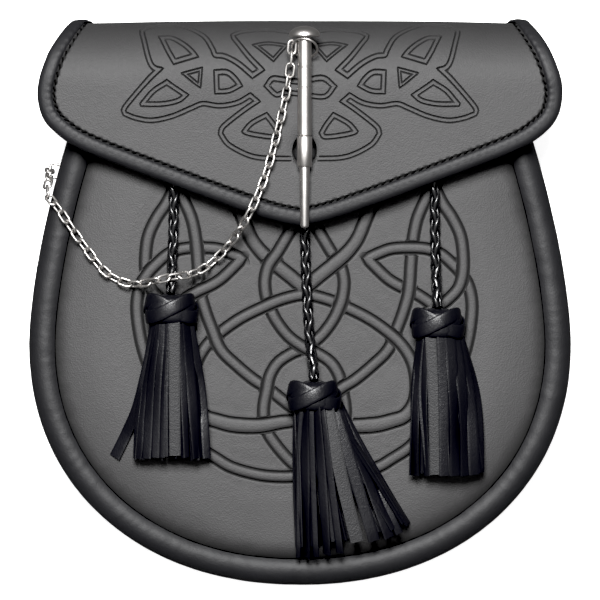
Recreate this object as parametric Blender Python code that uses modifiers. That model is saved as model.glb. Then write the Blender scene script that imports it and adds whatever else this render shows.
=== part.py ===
"""A black leather pouch worn at the front of a kilt, lying on its back.

X runs across the pouch, +Y runs up to the fold of the flap and +Z out of the front.
The origin is on the surface that the pouch lies on, under the middle of its outline.
Lengths are in metres and angles in degrees.
"""

import math

import bmesh
import bpy
from mathutils import Matrix, Vector

# The pouch's outline
POUCH_WIDTH = 0.190
POUCH_HEIGHT = 0.198
POUCH_DEPTH = 0.030
WIDEST_ABOVE_BASE = 0.085
BOWL_POWER = 2.15
MOUTH_BELOW_TOP = 0.023
MOUTH_TAPER = 0.0196
TAPER_POWER = 1.6

# Leather thicknesses and the gaps between pieces
GUSSET_WALL = 0.0020
FRONT_WALL = 0.0020
BACK_WALL = 0.0024
LOOP_WALL = 0.0018
GAP = 0.0003

# The gusset's rolled shoulders, front and back
SHOULDER_RADIUS = 0.0055
SEAM_ANGLE = 50

# How the two panels stand out from or sink behind the seams
FRONT_CROWN = 0.0040
FRONT_RUN = 0.045
BACK_DISH = 0.0058
BACK_RUN = 0.025

# The flap, which is one leather with the back
FLAP_WIDTH = 0.1834
FLAP_DROP = 0.0725
FOLD_DEPTH = 0.014
FLAP_DROOP = 0.0030
SLOT_WIDTH = 0.0088
SLOT_HEIGHT = 0.0125

# The flap's edge binding
BINDING_WIDTH = 0.0055
BINDING_THICKNESS = 0.0050
BINDING_WALL = 0.0010
BINDING_GAP = 0.0004
BINDING_START = -60

# The belt loops on the back
LOOP_SPACING = 0.060
LOOP_WIDTH = 0.018
LOOP_BRIDGE = 0.034
LOOP_RAMP = 0.006
LOOP_FOOT = 0.008
LOOPS_BELOW_TOP = 0.069

# The closure: a barrel on a stem, and the pin that passes through it, a little to the right of
# the pouch's middle
CLOSURE_X = 0.0016
BARREL_RADIUS = 0.0026
BARREL_BORE = 0.0021
BARREL_LENGTH = 0.0105
BARREL_BELOW_TOP = 0.0412
STEM_WIDTH = 0.0024
STEM_LENGTH = 0.0070
BASE_RADIUS = 0.0036
BASE_HEIGHT = 0.0012
PIN_RADIUS = 0.0024
PIN_LIFT = 0.0014
PIN_TIP_RADIUS = 0.0015
PIN_LENGTH = 0.0705
PIN_BELOW_TOP = 0.0027
HEAD_RADIUS = 0.0054
HEAD_HEIGHT = 0.0038
RING_RADIUS = 0.0045
RING_WIRE = 0.0008
RING_TILT = 44
RING_TURN = -12
HOOK_ANGLE = 188

# The chain from the pin's ring to the staple on the gusset
LINK_PITCH = 0.00405
LINK_WIDTH = 0.0038
LINK_WIRE = 0.00095
LINK_BITE = 0.00014
HOOK_GAP = 0.0004
CHAIN_LEAN = 12
TWIST_LINKS = 6
LINK_STEPS = 10
LINK_SIDES = 5
STAPLE_WIRE = 0.0010
STAPLE_SPAN = 0.0046
STAPLE_REACH = 0.0034
STAPLE_BELOW_TOP = 0.0530
STAPLE_Z = 0.0130

# The cords and tassels
CORD_DIAMETER = 0.0042
CORD_LEVEL = 0.0030
TASSEL_HEAD_WIDTH = 0.0186
TASSEL_HEAD_THICKNESS = 0.0130
TASSEL_HEAD_LENGTH = 0.0105
SKIRT_LENGTH = 0.0490
SKIRT_NECK_WIDTH = 0.0156
SKIRT_NECK_THICKNESS = 0.0108
SKIRT_HEM_THICKNESS = 0.0076
SKIRT_STRIPS = 8

# Where each cord leaves the seam under the flap, the points it passes, and its tassel's fan
# to the left and right. The points are x and how far below the pouch's top they lie; heights
# follow the panel under them.
TASSELS = [
    {"name": "left", "fan": (-6.5, 6.5),
     "cord": [(-0.0441, 0.0510), (-0.0441, 0.0610), (-0.0442, 0.0730), (-0.0446, 0.0850),
              (-0.0450, 0.0956)]},
    {"name": "middle", "fan": (2.0, 33.0),
     "cord": [(0.0016, 0.0620), (0.0017, 0.0740), (0.0022, 0.0910), (0.0034, 0.1110),
              (0.0048, 0.1260)]},
    {"name": "right", "fan": (-1.5, 10.5),
     "cord": [(0.0470, 0.0510), (0.0471, 0.0610), (0.0472, 0.0750), (0.0475, 0.0880),
              (0.0479, 0.1006)]},
]

# The chain's route after the pin's ring: x, how far below the pouch's top, what carries it
# there, and how far above that its middle runs.
CHAIN_ROUTE = [
    (-0.0036, 0.0190, "flap", 0.0030),
    (-0.0056, 0.0300, "flap", 0.0021),
    (-0.0087, 0.0430, "flap", 0.0021),
    (-0.0118, 0.0540, "flap", 0.0028),
    (-0.0153, 0.0630, "flap", 0.0038),
    (-0.0187, 0.0700, "flap", 0.0025),
    (-0.0232, 0.0768, "panel", 0.0056),
    (-0.0290, 0.0834, "panel", 0.0024),
    (-0.0364, 0.0886, "panel", 0.0056),
    (-0.0455, 0.0902, "panel", 0.0106),
    (-0.0540, 0.0922, "panel", 0.0056),
    (-0.0602, 0.0924, "panel", 0.0023),
    (-0.0680, 0.0884, "panel", 0.0023),
    (-0.0750, 0.0798, "panel", 0.0026),
    (-0.0800, 0.0728, "shoulder", 0.0024),
    (-0.0842, 0.0665, "shoulder", 0.0022),
]

# The flap's edge from the top of the fold to the tip: shares of the drop and of half the width
FLAP_OUTLINE = [
    {"drop": 0.000, "width": 0.863},
    {"drop": 0.085, "width": 0.920},
    {"drop": 0.190, "width": 0.969},
    {"drop": 0.340, "width": 1.000},
    {"drop": 0.470, "width": 0.982},
    {"drop": 0.560, "width": 0.920},
    {"drop": 0.640, "width": 0.815},
    {"drop": 0.763, "width": 0.567},
    {"drop": 0.890, "width": 0.297},
    {"drop": 0.968, "width": 0.115},
    {"drop": 1.000, "width": 0.000},
]

GUSSET_STEPS = 15
SHEET_COLUMNS = 5
FOLD_STEPS = 8
FLAP_STEPS = 13

# Places that follow from the sizes above
BASE_Y = -POUCH_HEIGHT / 2
TOP_Y = POUCH_HEIGHT / 2
WIDEST_Y = BASE_Y + WIDEST_ABOVE_BASE
MOUTH_Y = TOP_Y - MOUTH_BELOW_TOP
SEAM_INSET = SHOULDER_RADIUS * (1 + math.cos(math.radians(SEAM_ANGLE)))
SEAM_DROP = SHOULDER_RADIUS * (1 - math.sin(math.radians(SEAM_ANGLE)))
PANEL_INSET = SEAM_INSET + GAP
PANEL_RIM_Z = POUCH_DEPTH - SEAM_DROP
FLAP_Z = (PANEL_RIM_Z + FRONT_CROWN + CORD_DIAMETER + 2 * GAP + BINDING_THICKNESS / 2
          + FLAP_DROOP / 6)
FOLD_Y = TOP_Y - BINDING_THICKNESS / 2 - FOLD_DEPTH
BINDING_OVERHANG = BINDING_WALL + BINDING_GAP
PIN_Z = FLAP_Z + BACK_WALL / 2 + PIN_LIFT + PIN_RADIUS
BARREL_TOP_Y = TOP_Y - BARREL_BELOW_TOP
STEM_Y = BARREL_TOP_Y - BARREL_LENGTH / 2
PIN_TOP_Y = TOP_Y - PIN_BELOW_TOP
PIN_TIP_Y = PIN_TOP_Y - PIN_LENGTH
LOOP_CENTRE_Y = TOP_Y - LOOPS_BELOW_TOP
STAPLE_Y = TOP_Y - STAPLE_BELOW_TOP


def clear_scene():
    for obj in list(bpy.data.objects):
        bpy.data.objects.remove(obj)


def make_collection(name):
    collection = bpy.data.collections.new(name)
    bpy.context.scene.collection.children.link(collection)
    return collection


def make_material(name, colour, roughness, metallic=0.0):
    material = bpy.data.materials.new(name)
    material.use_nodes = True
    shader = material.node_tree.nodes["Principled BSDF"]
    shader.inputs["Base Color"].default_value = (*colour, 1.0)
    shader.inputs["Roughness"].default_value = roughness
    shader.inputs["Metallic"].default_value = metallic
    return material


def add_object(name, data, material, collection):
    data.name = name
    obj = bpy.data.objects.new(name, data)
    data.materials.append(material)
    collection.objects.link(obj)
    return obj


def move_to(obj, name, material, collection):
    """Names a primitive that an operator has just added, and puts it in its collection."""
    obj.name = name
    obj.data.name = name
    obj.data.materials.append(material)
    for old in list(obj.users_collection):
        old.objects.unlink(obj)
    collection.objects.link(obj)
    return obj


def smooth_shade(obj, angle=40):
    obj.data.shade_smooth()
    obj.data.set_sharp_from_angle(angle=math.radians(angle))


def ease(share):
    """0 at 0 and 1 from 1 on, rising fast and levelling off."""
    share = min(max(share, 0.0), 1.0)
    return 1 - (1 - share) ** 2


def spline(points, steps):
    """A smooth curve through the points, with that many steps between each two."""
    ends = [2 * points[0] - points[1], *points, 2 * points[-1] - points[-2]]
    curve = []
    for a, b, c, d in zip(ends, ends[1:], ends[2:], ends[3:]):
        for k in range(steps):
            t = k / steps
            curve.append(0.5 * (2 * b + (c - a) * t + (2 * a - 5 * b + 4 * c - d) * t**2
                                + (3 * b - a - 3 * c + d) * t**3))
    return [*curve, points[-1]]


def resample(points, steps):
    """The same line with points evenly spaced along it."""
    along = [0.0]
    for a, b in zip(points, points[1:]):
        along.append(along[-1] + (b - a).length)
    found, i = [], 0
    for k in range(steps + 1):
        at = along[-1] * k / steps
        while i < len(points) - 2 and along[i + 1] < at:
            i += 1
        span = along[i + 1] - along[i]
        found.append(points[i].lerp(points[i + 1], (at - along[i]) / span if span else 0.0))
    return found


def sheet_mesh(name, rows):
    """An open surface through rows of points; a row may be a single point."""
    mesh = bpy.data.meshes.new(name)
    bm = bmesh.new()
    made = [[bm.verts.new(p) for p in row] for row in rows]
    for low, high in zip(made, made[1:]):
        for k in range(max(len(low), len(high)) - 1):
            if len(low) == 1:
                bm.faces.new((low[0], high[k + 1], high[k]))
            elif len(high) == 1:
                bm.faces.new((low[k], low[k + 1], high[0]))
            else:
                bm.faces.new((low[k], low[k + 1], high[k + 1], high[k]))
    bm.to_mesh(mesh)
    bm.free()
    return mesh


def loft_mesh(name, rings):
    """A closed solid through rings of as many points each, with a flat cap at each end."""
    mesh = bpy.data.meshes.new(name)
    bm = bmesh.new()
    made = [[bm.verts.new(p) for p in ring] for ring in rings]
    for low, high in zip(made, made[1:]):
        for k, vertex in enumerate(low):
            after = (k + 1) % len(low)
            bm.faces.new((vertex, low[after], high[after], high[k]))
    bm.faces.new(made[0][::-1])
    bm.faces.new(made[-1])
    bmesh.ops.recalc_face_normals(bm, faces=bm.faces)
    bm.to_mesh(mesh)
    bm.free()
    return mesh


def thicken(obj, wall, side):
    """Gives a sheet its thickness: side is 0 for both ways and -1 for against its normals."""
    modifier = obj.modifiers.new("wall", "SOLIDIFY")
    modifier.thickness = wall
    modifier.offset = side
    modifier.use_even_offset = True


def boolean(obj, other, operation):
    modifier = obj.modifiers.new(operation.lower(), "BOOLEAN")
    modifier.operation = operation
    modifier.object = other
    other.hide_render = True
    other.display_type = "WIRE"


def half_outline():
    """The right half of the pouch's outline, from the middle of its base to its mouth."""
    half, power = POUCH_WIDTH / 2, 2 / BOWL_POWER
    points = []
    for k in range(61):
        turn = math.pi / 2 * (1 - k / 60)
        points.append(Vector((half * math.cos(turn) ** power,
                              WIDEST_Y - WIDEST_ABOVE_BASE * math.sin(turn) ** power)))
    points[0].x = 0.0
    rise = MOUTH_Y - WIDEST_Y
    for k in range(1, 31):
        share = k / 30
        points.append(Vector((half - MOUTH_TAPER * share**TAPER_POWER, WIDEST_Y + rise * share)))
    return resample(points, GUSSET_STEPS)


def inward_normals(half):
    """For each point of the half outline, the direction into the pouch."""
    normals = []
    for k, point in enumerate(half):
        before = half[k - 1] if k else Vector((-half[1].x, half[1].y))
        after = half[min(k + 1, len(half) - 1)]
        along = (after - before).normalized()
        normals.append(Vector((-along.y, along.x)))
    return normals


def inset(half, distance):
    return [p + n * distance for p, n in zip(half, inward_normals(half))]


def seam_half_width(y):
    """Half the width between the seams at height y."""
    rim = inset(half_outline(), PANEL_INSET)
    for low, high in zip(rim, rim[1:]):
        if low.y <= y <= high.y:
            share = (y - low.y) / max(high.y - low.y, 1e-9)
            return low.x + (high.x - low.x) * share
    return rim[-1].x if y > rim[-1].y else 0.0


def swell(x, y, half_width, run):
    """How far a panel has left its seams at a point: 0 at a seam, 1 a run away from it."""
    base = BASE_Y + PANEL_INSET
    return ease((half_width - abs(x)) / run) * ease((y - base) / run)


def panel_top(x, y):
    """The height of the front panel's outer face."""
    return PANEL_RIM_Z + FRONT_CROWN * swell(x, y, seam_half_width(y), FRONT_RUN)


def flap_middle(x):
    """The height of the middle of the flap's leather, which droops towards its sides."""
    return FLAP_Z - FLAP_DROOP * (abs(x) / (FLAP_WIDTH / 2)) ** 3


def fold_point(x, rear_z, turn):
    """A point of the fold, which turns from -90 at the back to 90 at the front."""
    front_z = flap_middle(x)
    return Vector((x, FOLD_Y + FOLD_DEPTH * math.cos(math.radians(turn)),
                   (front_z + rear_z) / 2 + (front_z - rear_z) / 2 * math.sin(math.radians(turn))))


def flap_top(x, y):
    """The height of the flap's outer face, over its fold too."""
    rise = min(max((y - FOLD_Y) / (FOLD_DEPTH + BACK_WALL / 2), 0.0), 1.0)
    rear_z = SEAM_DROP + BACK_DISH + BACK_WALL / 2
    middle = (flap_middle(x) + rear_z) / 2
    return middle + (flap_middle(x) + BACK_WALL / 2 - middle) * math.sqrt(1 - rise**2)


def columns():
    """Shares of the half width at which a sheet's columns run, closer together at its edges."""
    half = [math.sin(math.pi / 2 * k / SHEET_COLUMNS) for k in range(SHEET_COLUMNS + 1)]
    return [-share for share in half[:0:-1]] + half


def gusset(material, collection):
    """The strip round the pouch: rolled over to both seams, and open at the mouth."""
    section = []
    for angle in (SEAM_ANGLE, 90, 120, 150, 180):
        turn = math.radians(angle)
        section.append((SHOULDER_RADIUS * (1 + math.cos(turn)),
                        POUCH_DEPTH - SHOULDER_RADIUS * (1 - math.sin(turn))))
    section += [(u, POUCH_DEPTH - z) for u, z in section[::-1]]
    half = half_outline()
    rings = []
    for point, normal in zip(half, inward_normals(half)):
        rings.append([Vector((*(point + normal * u), z)) for u, z in section])
    mirrored = [[Vector((-p.x, p.y, p.z)) for p in ring] for ring in rings[:0:-1]]
    obj = add_object("gusset", sheet_mesh("gusset", mirrored + rings), material, collection)
    thicken(obj, GUSSET_WALL, -1)
    smooth_shade(obj)
    return obj


def front_panel(material, collection):
    rim = inset(half_outline(), PANEL_INSET)
    rows = [[Vector((0, rim[0].y, panel_top(0, rim[0].y) - FRONT_WALL / 2))]]
    for edge in rim[1:]:
        row = []
        for share in columns():
            x = edge.x * share
            swelling = swell(x, edge.y, edge.x, FRONT_RUN)
            row.append(Vector((x, edge.y, PANEL_RIM_Z + FRONT_CROWN * swelling - FRONT_WALL / 2)))
        rows.append(row)
    obj = add_object("front_panel", sheet_mesh("front_panel", rows), material, collection)
    thicken(obj, FRONT_WALL, 0)
    smooth_shade(obj)
    return obj


def flap_edge():
    """The flap's outer edge in plan, from the top of its fold to its tip, as points x, y."""
    points = [Vector((row["width"] * FLAP_WIDTH / 2, TOP_Y - row["drop"] * FLAP_DROP))
              for row in FLAP_OUTLINE]
    return spline(points, 8)


def leather_edge():
    """The edge of the leather inside the binding, from the front of the fold's top to the tip."""
    outer = flap_edge()
    inner = []
    for k, point in enumerate(outer):
        before = outer[max(k - 1, 0)]
        after = outer[k + 1] if k + 1 < len(outer) else Vector((-outer[-2].x, outer[-2].y))
        along = (after - before).normalized()
        inner.append(point + Vector((along.y, -along.x)) * BINDING_OVERHANG)
    inner[-1].x = 0.0
    return inner


def width_at(edge, y):
    for high, low in zip(edge, edge[1:]):
        if low.y <= y <= high.y:
            return low.x + (high.x - low.x) * (y - low.y) / max(high.y - low.y, 1e-9)
    return edge[0].x


def flap_rows():
    """Rows of the leather from the back of the fold to the flap's tip, with their turn."""
    edge = leather_edge()
    mouth = inset(half_outline(), PANEL_INSET)[-1].x
    top = edge[0].x
    rear_rim = SEAM_DROP + BACK_WALL / 2
    rows = []
    for k in range(FOLD_STEPS + 1):
        turn = -90 + 180 * k / FOLD_STEPS
        if turn < 0:
            half_width = mouth + (top - mouth) * (1 + turn / 90 * 0.8)
        else:
            half_width = width_at(edge, FOLD_Y + FOLD_DEPTH * math.cos(math.radians(turn)))
        row = []
        for share in columns():
            swelling = swell(share * mouth, MOUTH_Y, mouth, BACK_RUN)
            rear_z = rear_rim + BACK_DISH * swelling
            row.append(fold_point(share * half_width, rear_z, turn))
        rows.append((turn, row))
    below = [p for p in edge if p.y < FOLD_Y - FOLD_DEPTH / 8]
    below = resample([Vector((width_at(edge, FOLD_Y), FOLD_Y)), *below], FLAP_STEPS)[1:]
    for point in below[:-1]:
        rows.append((90, [Vector((point.x * share, point.y, flap_middle(point.x * share)))
                          for share in columns()]))
    rows.append((90, [Vector((0, below[-1].y, flap_middle(0)))]))
    return rows


def body_leather(material, collection, cutters):
    """The back and the flap, cut in one: up the back, over the fold and down to the tip."""
    rim = inset(half_outline(), PANEL_INSET)
    rear_rim = SEAM_DROP + BACK_WALL / 2
    rows = [[Vector((0, rim[0].y, rear_rim))]]
    for edge in rim[1:]:
        rows.append([Vector((edge.x * share, edge.y,
                             rear_rim + BACK_DISH * swell(edge.x * share, edge.y, edge.x, BACK_RUN)))
                     for share in columns()])
    rows += [row for _, row in flap_rows()]
    obj = add_object("body_leather", sheet_mesh("body_leather", rows), material, collection)
    thicken(obj, BACK_WALL, 0)
    bpy.ops.mesh.primitive_cylinder_add(vertices=16, radius=SLOT_WIDTH / 2, depth=0.01,
                                        location=(CLOSURE_X, STEM_Y, FLAP_Z))
    slot = move_to(bpy.context.object, "slot_cutter", material, cutters)
    slot.scale.y = SLOT_HEIGHT / SLOT_WIDTH
    boolean(obj, slot, "DIFFERENCE")
    smooth_shade(obj)
    return obj


def binding_section():
    """The binding's closed section: distance inwards from its outer edge, and height."""
    half, slot = BINDING_THICKNESS / 2, BACK_WALL / 2 + BINDING_GAP
    outer = [(BINDING_WIDTH, half)]
    for angle in (90, 130, 180, 230, 270):
        turn = math.radians(angle)
        outer.append((half + half * math.cos(turn), half * math.sin(turn)))
    outer.append((BINDING_WIDTH, -half))
    return [*outer, (BINDING_WIDTH, -slot), (BINDING_WALL, -slot), (BINDING_WALL, slot),
            (BINDING_WIDTH, slot)]


def flap_binding(material, collection):
    """The rolled strip that clasps the flap's edge, from behind the fold round to behind it."""
    rows = [row for turn, row in flap_rows() if turn >= BINDING_START]
    left = [row[0] for row in rows]
    right = [row[-1] for row in rows[:-1]]
    path = left + right[::-1]
    inwards = [row[1] - row[0] for row in rows[:-1]]
    inwards.append(Vector((0, 1, 0)))
    inwards += [row[-2] - row[-1] for row in rows[-2::-1]]
    rings = []
    for k, point in enumerate(path):
        along = (path[min(k + 1, len(path) - 1)] - path[max(k - 1, 0)]).normalized()
        up = along.cross(inwards[k]).normalized()
        into = up.cross(along)
        rings.append([point + into * (u - BINDING_OVERHANG) + up * v for u, v in binding_section()])
    obj = add_object("flap_binding", loft_mesh("flap_binding", rings), material, collection)
    smooth_shade(obj)
    return obj


def belt_loop(side, material, collection):
    """A strap keeper on the back: two feet on the panel and a bridge that the belt runs under."""
    foot_z = SEAM_DROP + BACK_DISH - GAP - LOOP_WALL / 2
    half_bridge = LOOP_BRIDGE / 2
    profile = [(half_bridge + LOOP_RAMP + LOOP_FOOT, foot_z), (half_bridge + LOOP_RAMP, foot_z),
               (half_bridge, LOOP_WALL / 2)]
    profile += [(-y, z) for y, z in profile[::-1]]
    x = side * LOOP_SPACING / 2
    rows = [[Vector((x - LOOP_WIDTH / 2, LOOP_CENTRE_Y + y, z)),
             Vector((x + LOOP_WIDTH / 2, LOOP_CENTRE_Y + y, z))] for y, z in profile]
    name = "belt_loop_left" if side < 0 else "belt_loop_right"
    obj = add_object(name, sheet_mesh(name, rows), material, collection)
    thicken(obj, LOOP_WALL, 0)
    return obj


def turned_along_y(name, profile, steps, material, collection):
    """A turned piece whose profile is radius and y, from its +Y end to its -Y end."""
    mesh = bpy.data.meshes.new(name)
    points = [(radius, 0, y) for radius, y in profile]
    mesh.from_pydata(points, [(k, k + 1) for k in range(len(points) - 1)], [])
    obj = add_object(name, mesh, material, collection)
    screw = obj.modifiers.new("turn", "SCREW")
    screw.steps = steps
    screw.render_steps = steps
    screw.use_merge_vertices = True
    screw.merge_threshold = 0.00001
    obj.rotation_euler.x = math.radians(-90)
    return obj


def closure_pin(material, collection):
    """The pin: a domed head, a stout shank, and a slimmer end that passes through the barrel."""
    under_head = PIN_TOP_Y - HEAD_HEIGHT
    shoulder = BARREL_TOP_Y + GAP
    slim = BARREL_BORE - GAP
    profile = [(0, PIN_TOP_Y)]
    for angle in (65, 40, 15):
        turn = math.radians(angle)
        profile.append((HEAD_RADIUS * math.cos(turn), under_head + HEAD_HEIGHT * math.sin(turn)))
    profile += [(HEAD_RADIUS, under_head), (PIN_RADIUS, under_head), (PIN_RADIUS, shoulder),
                (slim, shoulder), (slim, shoulder - BARREL_LENGTH),
                (PIN_TIP_RADIUS, PIN_TIP_Y + PIN_TIP_RADIUS / 2),
                (PIN_TIP_RADIUS / 2, PIN_TIP_Y), (0, PIN_TIP_Y)]
    obj = turned_along_y("closure_pin", profile, 14, material, collection)
    obj.location = (CLOSURE_X, 0, PIN_Z)
    smooth_shade(obj)
    return obj


def closure_barrel(material, collection, cutters):
    """The barrel with the stem and round base that carry it up through the flap's slot."""
    along_y = (math.radians(90), 0, 0)
    bpy.ops.mesh.primitive_cylinder_add(vertices=16, radius=BARREL_RADIUS, depth=BARREL_LENGTH,
                                        location=(CLOSURE_X, STEM_Y, PIN_Z), rotation=along_y)
    barrel = move_to(bpy.context.object, "closure_barrel", material, collection)
    base_z = panel_top(CLOSURE_X, STEM_Y) + GAP
    bpy.ops.mesh.primitive_cylinder_add(vertices=16, radius=BASE_RADIUS, depth=BASE_HEIGHT,
                                        location=(CLOSURE_X, STEM_Y, base_z + BASE_HEIGHT / 2))
    boolean(barrel, move_to(bpy.context.object, "base_form", material, cutters), "UNION")
    low, high = base_z + BASE_HEIGHT / 2, PIN_Z - (BARREL_RADIUS + BARREL_BORE) / 2
    bpy.ops.mesh.primitive_cube_add(size=1, location=(CLOSURE_X, STEM_Y, (low + high) / 2))
    stem = move_to(bpy.context.object, "stem_form", material, cutters)
    stem.scale = (STEM_WIDTH, STEM_LENGTH, high - low)
    boolean(barrel, stem, "UNION")
    bpy.ops.mesh.primitive_cylinder_add(vertices=16, radius=BARREL_BORE, depth=2 * BARREL_LENGTH,
                                        location=(CLOSURE_X, STEM_Y, PIN_Z), rotation=along_y)
    boolean(barrel, move_to(bpy.context.object, "bore_cutter", material, cutters), "DIFFERENCE")
    return barrel


def ring_matrix():
    """The pin ring's place: round the shank, tilted so that its front is up under the head."""
    rise = RING_RADIUS * math.sin(math.radians(RING_TILT)) + RING_WIRE / 2
    place = Matrix.Translation((CLOSURE_X, PIN_TOP_Y - HEAD_HEIGHT - GAP - rise, PIN_Z))
    turn = Matrix.Rotation(math.radians(RING_TURN), 4, "Z")
    return place @ turn @ Matrix.Rotation(math.radians(-90 - RING_TILT), 4, "X")


def pin_ring(material, collection):
    bpy.ops.mesh.primitive_torus_add(major_radius=RING_RADIUS, minor_radius=RING_WIRE / 2,
                                     major_segments=18, minor_segments=6)
    obj = move_to(bpy.context.object, "pin_ring", material, collection)
    obj.matrix_world = ring_matrix()
    smooth_shade(obj)
    return obj


def staple_frame():
    """The staple's middle on the gusset's side, and the directions outwards and along the wall."""
    half = half_outline()
    for low, high, normal in zip(half, half[1:], inward_normals(half)[1:]):
        if low.y <= STAPLE_Y <= high.y:
            share = (STAPLE_Y - low.y) / (high.y - low.y)
            wall = low.lerp(high, share)
            out = Vector((normal.x, -normal.y, 0))
            return Vector((-wall.x, wall.y, STAPLE_Z)), out, Vector((out.y, -out.x, 0))
    return Vector((-half[-1].x, half[-1].y, STAPLE_Z)), Vector((-1, 0, 0)), Vector((0, 1, 0))


def chain_staple(material, collection):
    """The wire staple that stands on the gusset's side and holds the chain's last link."""
    middle, out, along = staple_frame()
    near, far = GAP, STAPLE_REACH
    corner = STAPLE_WIRE
    half = STAPLE_SPAN / 2
    plan = [(-half, near), (-half, far - corner), (-half + corner * 0.3, far - corner * 0.3),
            (-half + corner, far), (half - corner, far), (half - corner * 0.3, far - corner * 0.3),
            (half, far - corner), (half, near)]
    wire = [middle + along * a + out * b for a, b in plan]
    return tube("chain_staple", wire, STAPLE_WIRE, 1, material, collection)


def tube(name, points, diameter, resolution, material, collection):
    curve = bpy.data.curves.new(name, "CURVE")
    curve.dimensions = "3D"
    curve.bevel_depth = diameter / 2
    curve.bevel_resolution = resolution
    curve.use_fill_caps = True
    line = curve.splines.new("POLY")
    line.points.add(len(points) - 1)
    for point, place in zip(line.points, points):
        point.co = (*place, 1)
    return add_object(name, curve, material, collection)


def ring_hook():
    """The point of the pin ring's wire that the first link hangs on, and the wire's direction."""
    turn = math.radians(HOOK_ANGLE)
    place = ring_matrix()
    point = place @ (Vector((math.cos(turn), math.sin(turn), 0)) * RING_RADIUS)
    return point, place.to_3x3() @ Vector((-math.sin(turn), math.cos(turn), 0))


def chain_line():
    """The smooth line that the chain's joints lie on, from the ring to the staple."""
    middle, out, _ = staple_frame()
    heights = {"flap": flap_top, "panel": panel_top, "shoulder": lambda x, y: POUCH_DEPTH}
    laid = [Vector((x, TOP_Y - down, heights[carrier](x, TOP_Y - down) + lift))
            for x, down, carrier, lift in CHAIN_ROUTE]
    hook, _ = ring_hook()
    start = hook - (laid[0] - hook).normalized() * (RING_WIRE / 2 + HOOK_GAP)
    play = LINK_WIDTH / 2 - LINK_WIRE - RING_WIRE
    start += (hook - Vector((CLOSURE_X, hook.y, PIN_Z))).normalized() * play / 2
    bridge = middle + out * STAPLE_REACH
    end = bridge - Vector((0, 0, STAPLE_WIRE / 2 + HOOK_GAP))
    over = Vector((bridge.x - LINK_WIDTH / 8, STAPLE_Y - 2 * LINK_PITCH,
                   POUCH_DEPTH - LINK_WIDTH / 2))
    down = Vector((bridge.x, STAPLE_Y - 0.7 * LINK_PITCH,
                   (POUCH_DEPTH + STAPLE_Z + LINK_WIDTH) / 2))
    return spline([start, *laid, over, down, end], 24)


def chain_joints():
    """Points along the chain's line, a whole number of links apart."""
    line = chain_line()
    length = sum((b - a).length for a, b in zip(line, line[1:]))
    return resample(line, max(round(length / LINK_PITCH), 2))


def link_mesh(rings, start, end, normal):
    """Adds one link's points: an oval wire from joint to joint, in the plane across normal."""
    along = (end - start).normalized()
    across = normal.cross(along).normalized()
    normal = along.cross(across)
    wire = LINK_WIRE / 2
    inner = (end - start).length / 2 - LINK_BITE / 2
    bend = (LINK_WIDTH - LINK_WIRE) / 2
    straight = inner + wire - bend
    middle = (start + end) / 2
    loop = []
    for k in range(LINK_STEPS):
        turn = 2 * math.pi * k / LINK_STEPS
        shift = straight if math.cos(turn) > 0 else -straight
        centre = middle + along * (shift + bend * math.cos(turn)) + across * bend * math.sin(turn)
        out = along * math.cos(turn) + across * math.sin(turn)
        loop.append([centre + (out * math.cos(side) + normal * math.sin(side)) * wire
                     for side in (2 * math.pi * (j + 0.5) / LINK_SIDES for j in range(LINK_SIDES))])
    rings.append(loop)


def links_object(name, loops, material, collection):
    mesh = bpy.data.meshes.new(name)
    bm = bmesh.new()
    for loop in loops:
        made = [[bm.verts.new(p) for p in ring] for ring in loop]
        for k, ring in enumerate(made):
            after = made[(k + 1) % len(made)]
            for j, vertex in enumerate(ring):
                following = (j + 1) % len(ring)
                bm.faces.new((vertex, ring[following], after[following], after[j]))
    bmesh.ops.recalc_face_normals(bm, faces=bm.faces)
    bm.to_mesh(mesh)
    bm.free()
    return add_object(name, mesh, material, collection)


def chain_normals(joints):
    """Each link's normal: a quarter turn on from the last, about the chain's own line.

    The first link lies across the ring's wire and the last across the staple's, so the chain
    is twisted a little at both ends.
    """
    count = len(joints) - 1
    _, out, _ = staple_frame()
    _, wire = ring_hook()
    normals = []
    start_twist = None
    for k in range(count):
        along = (joints[k + 1] - joints[k]).normalized()
        up = Vector((0, 0, 1)).lerp(out, ease((k + TWIST_LINKS - count) / TWIST_LINKS))
        side = along.cross(up).normalized()
        up = side.cross(along)
        turn = math.pi / 2 if (count - k) % 2 else 0
        if start_twist is None:
            start_twist = math.atan2(wire.dot(side), wire.dot(up)) - turn - math.radians(CHAIN_LEAN)
            start_twist = math.remainder(start_twist, math.pi)
        turn += start_twist * (1 - ease(k / TWIST_LINKS))
        turn += math.radians(CHAIN_LEAN) * ease((count - 1 - k) / TWIST_LINKS)
        normals.append(up * math.cos(turn) + side * math.sin(turn))
    return normals


def chain(material, collection, cutters):
    """The chain's links, each hooked through the next and fused to it where they bear."""
    joints = chain_joints()
    normals = chain_normals(joints)
    loops = []
    for start, end, normal in zip(joints, joints[1:], normals):
        link_mesh(loops, start, end, normal)
    obj = links_object("chain", loops[0::2], material, collection)
    boolean(obj, links_object("chain_between", loops[1::2], material, cutters), "UNION")
    return obj


def cord_line(tassel):
    """The cord's middle: along the panel, then up and level into the tassel's head."""
    laid = [Vector((x, TOP_Y - down, panel_top(x, TOP_Y - down) + GAP + CORD_DIAMETER / 2))
            for x, down in tassel["cord"]]
    end = laid.pop()
    end.z = head_centre(tassel).z
    laid.append(end + Vector((0, CORD_LEVEL, 0)))
    line = spline(laid, 12)
    length = sum((b - a).length for a, b in zip(line, line[1:]))
    return [*resample(line, round(length / (1.6 * CORD_DIAMETER))), end]


def head_centre(tassel):
    """The middle of the top of the tassel's head, below the cord's end."""
    x, down = tassel["cord"][-1]
    y = TOP_Y - down
    below = y - TASSEL_HEAD_LENGTH / 2
    return Vector((x, y - GAP, panel_top(x, below) + GAP + TASSEL_HEAD_THICKNESS / 2))


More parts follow.
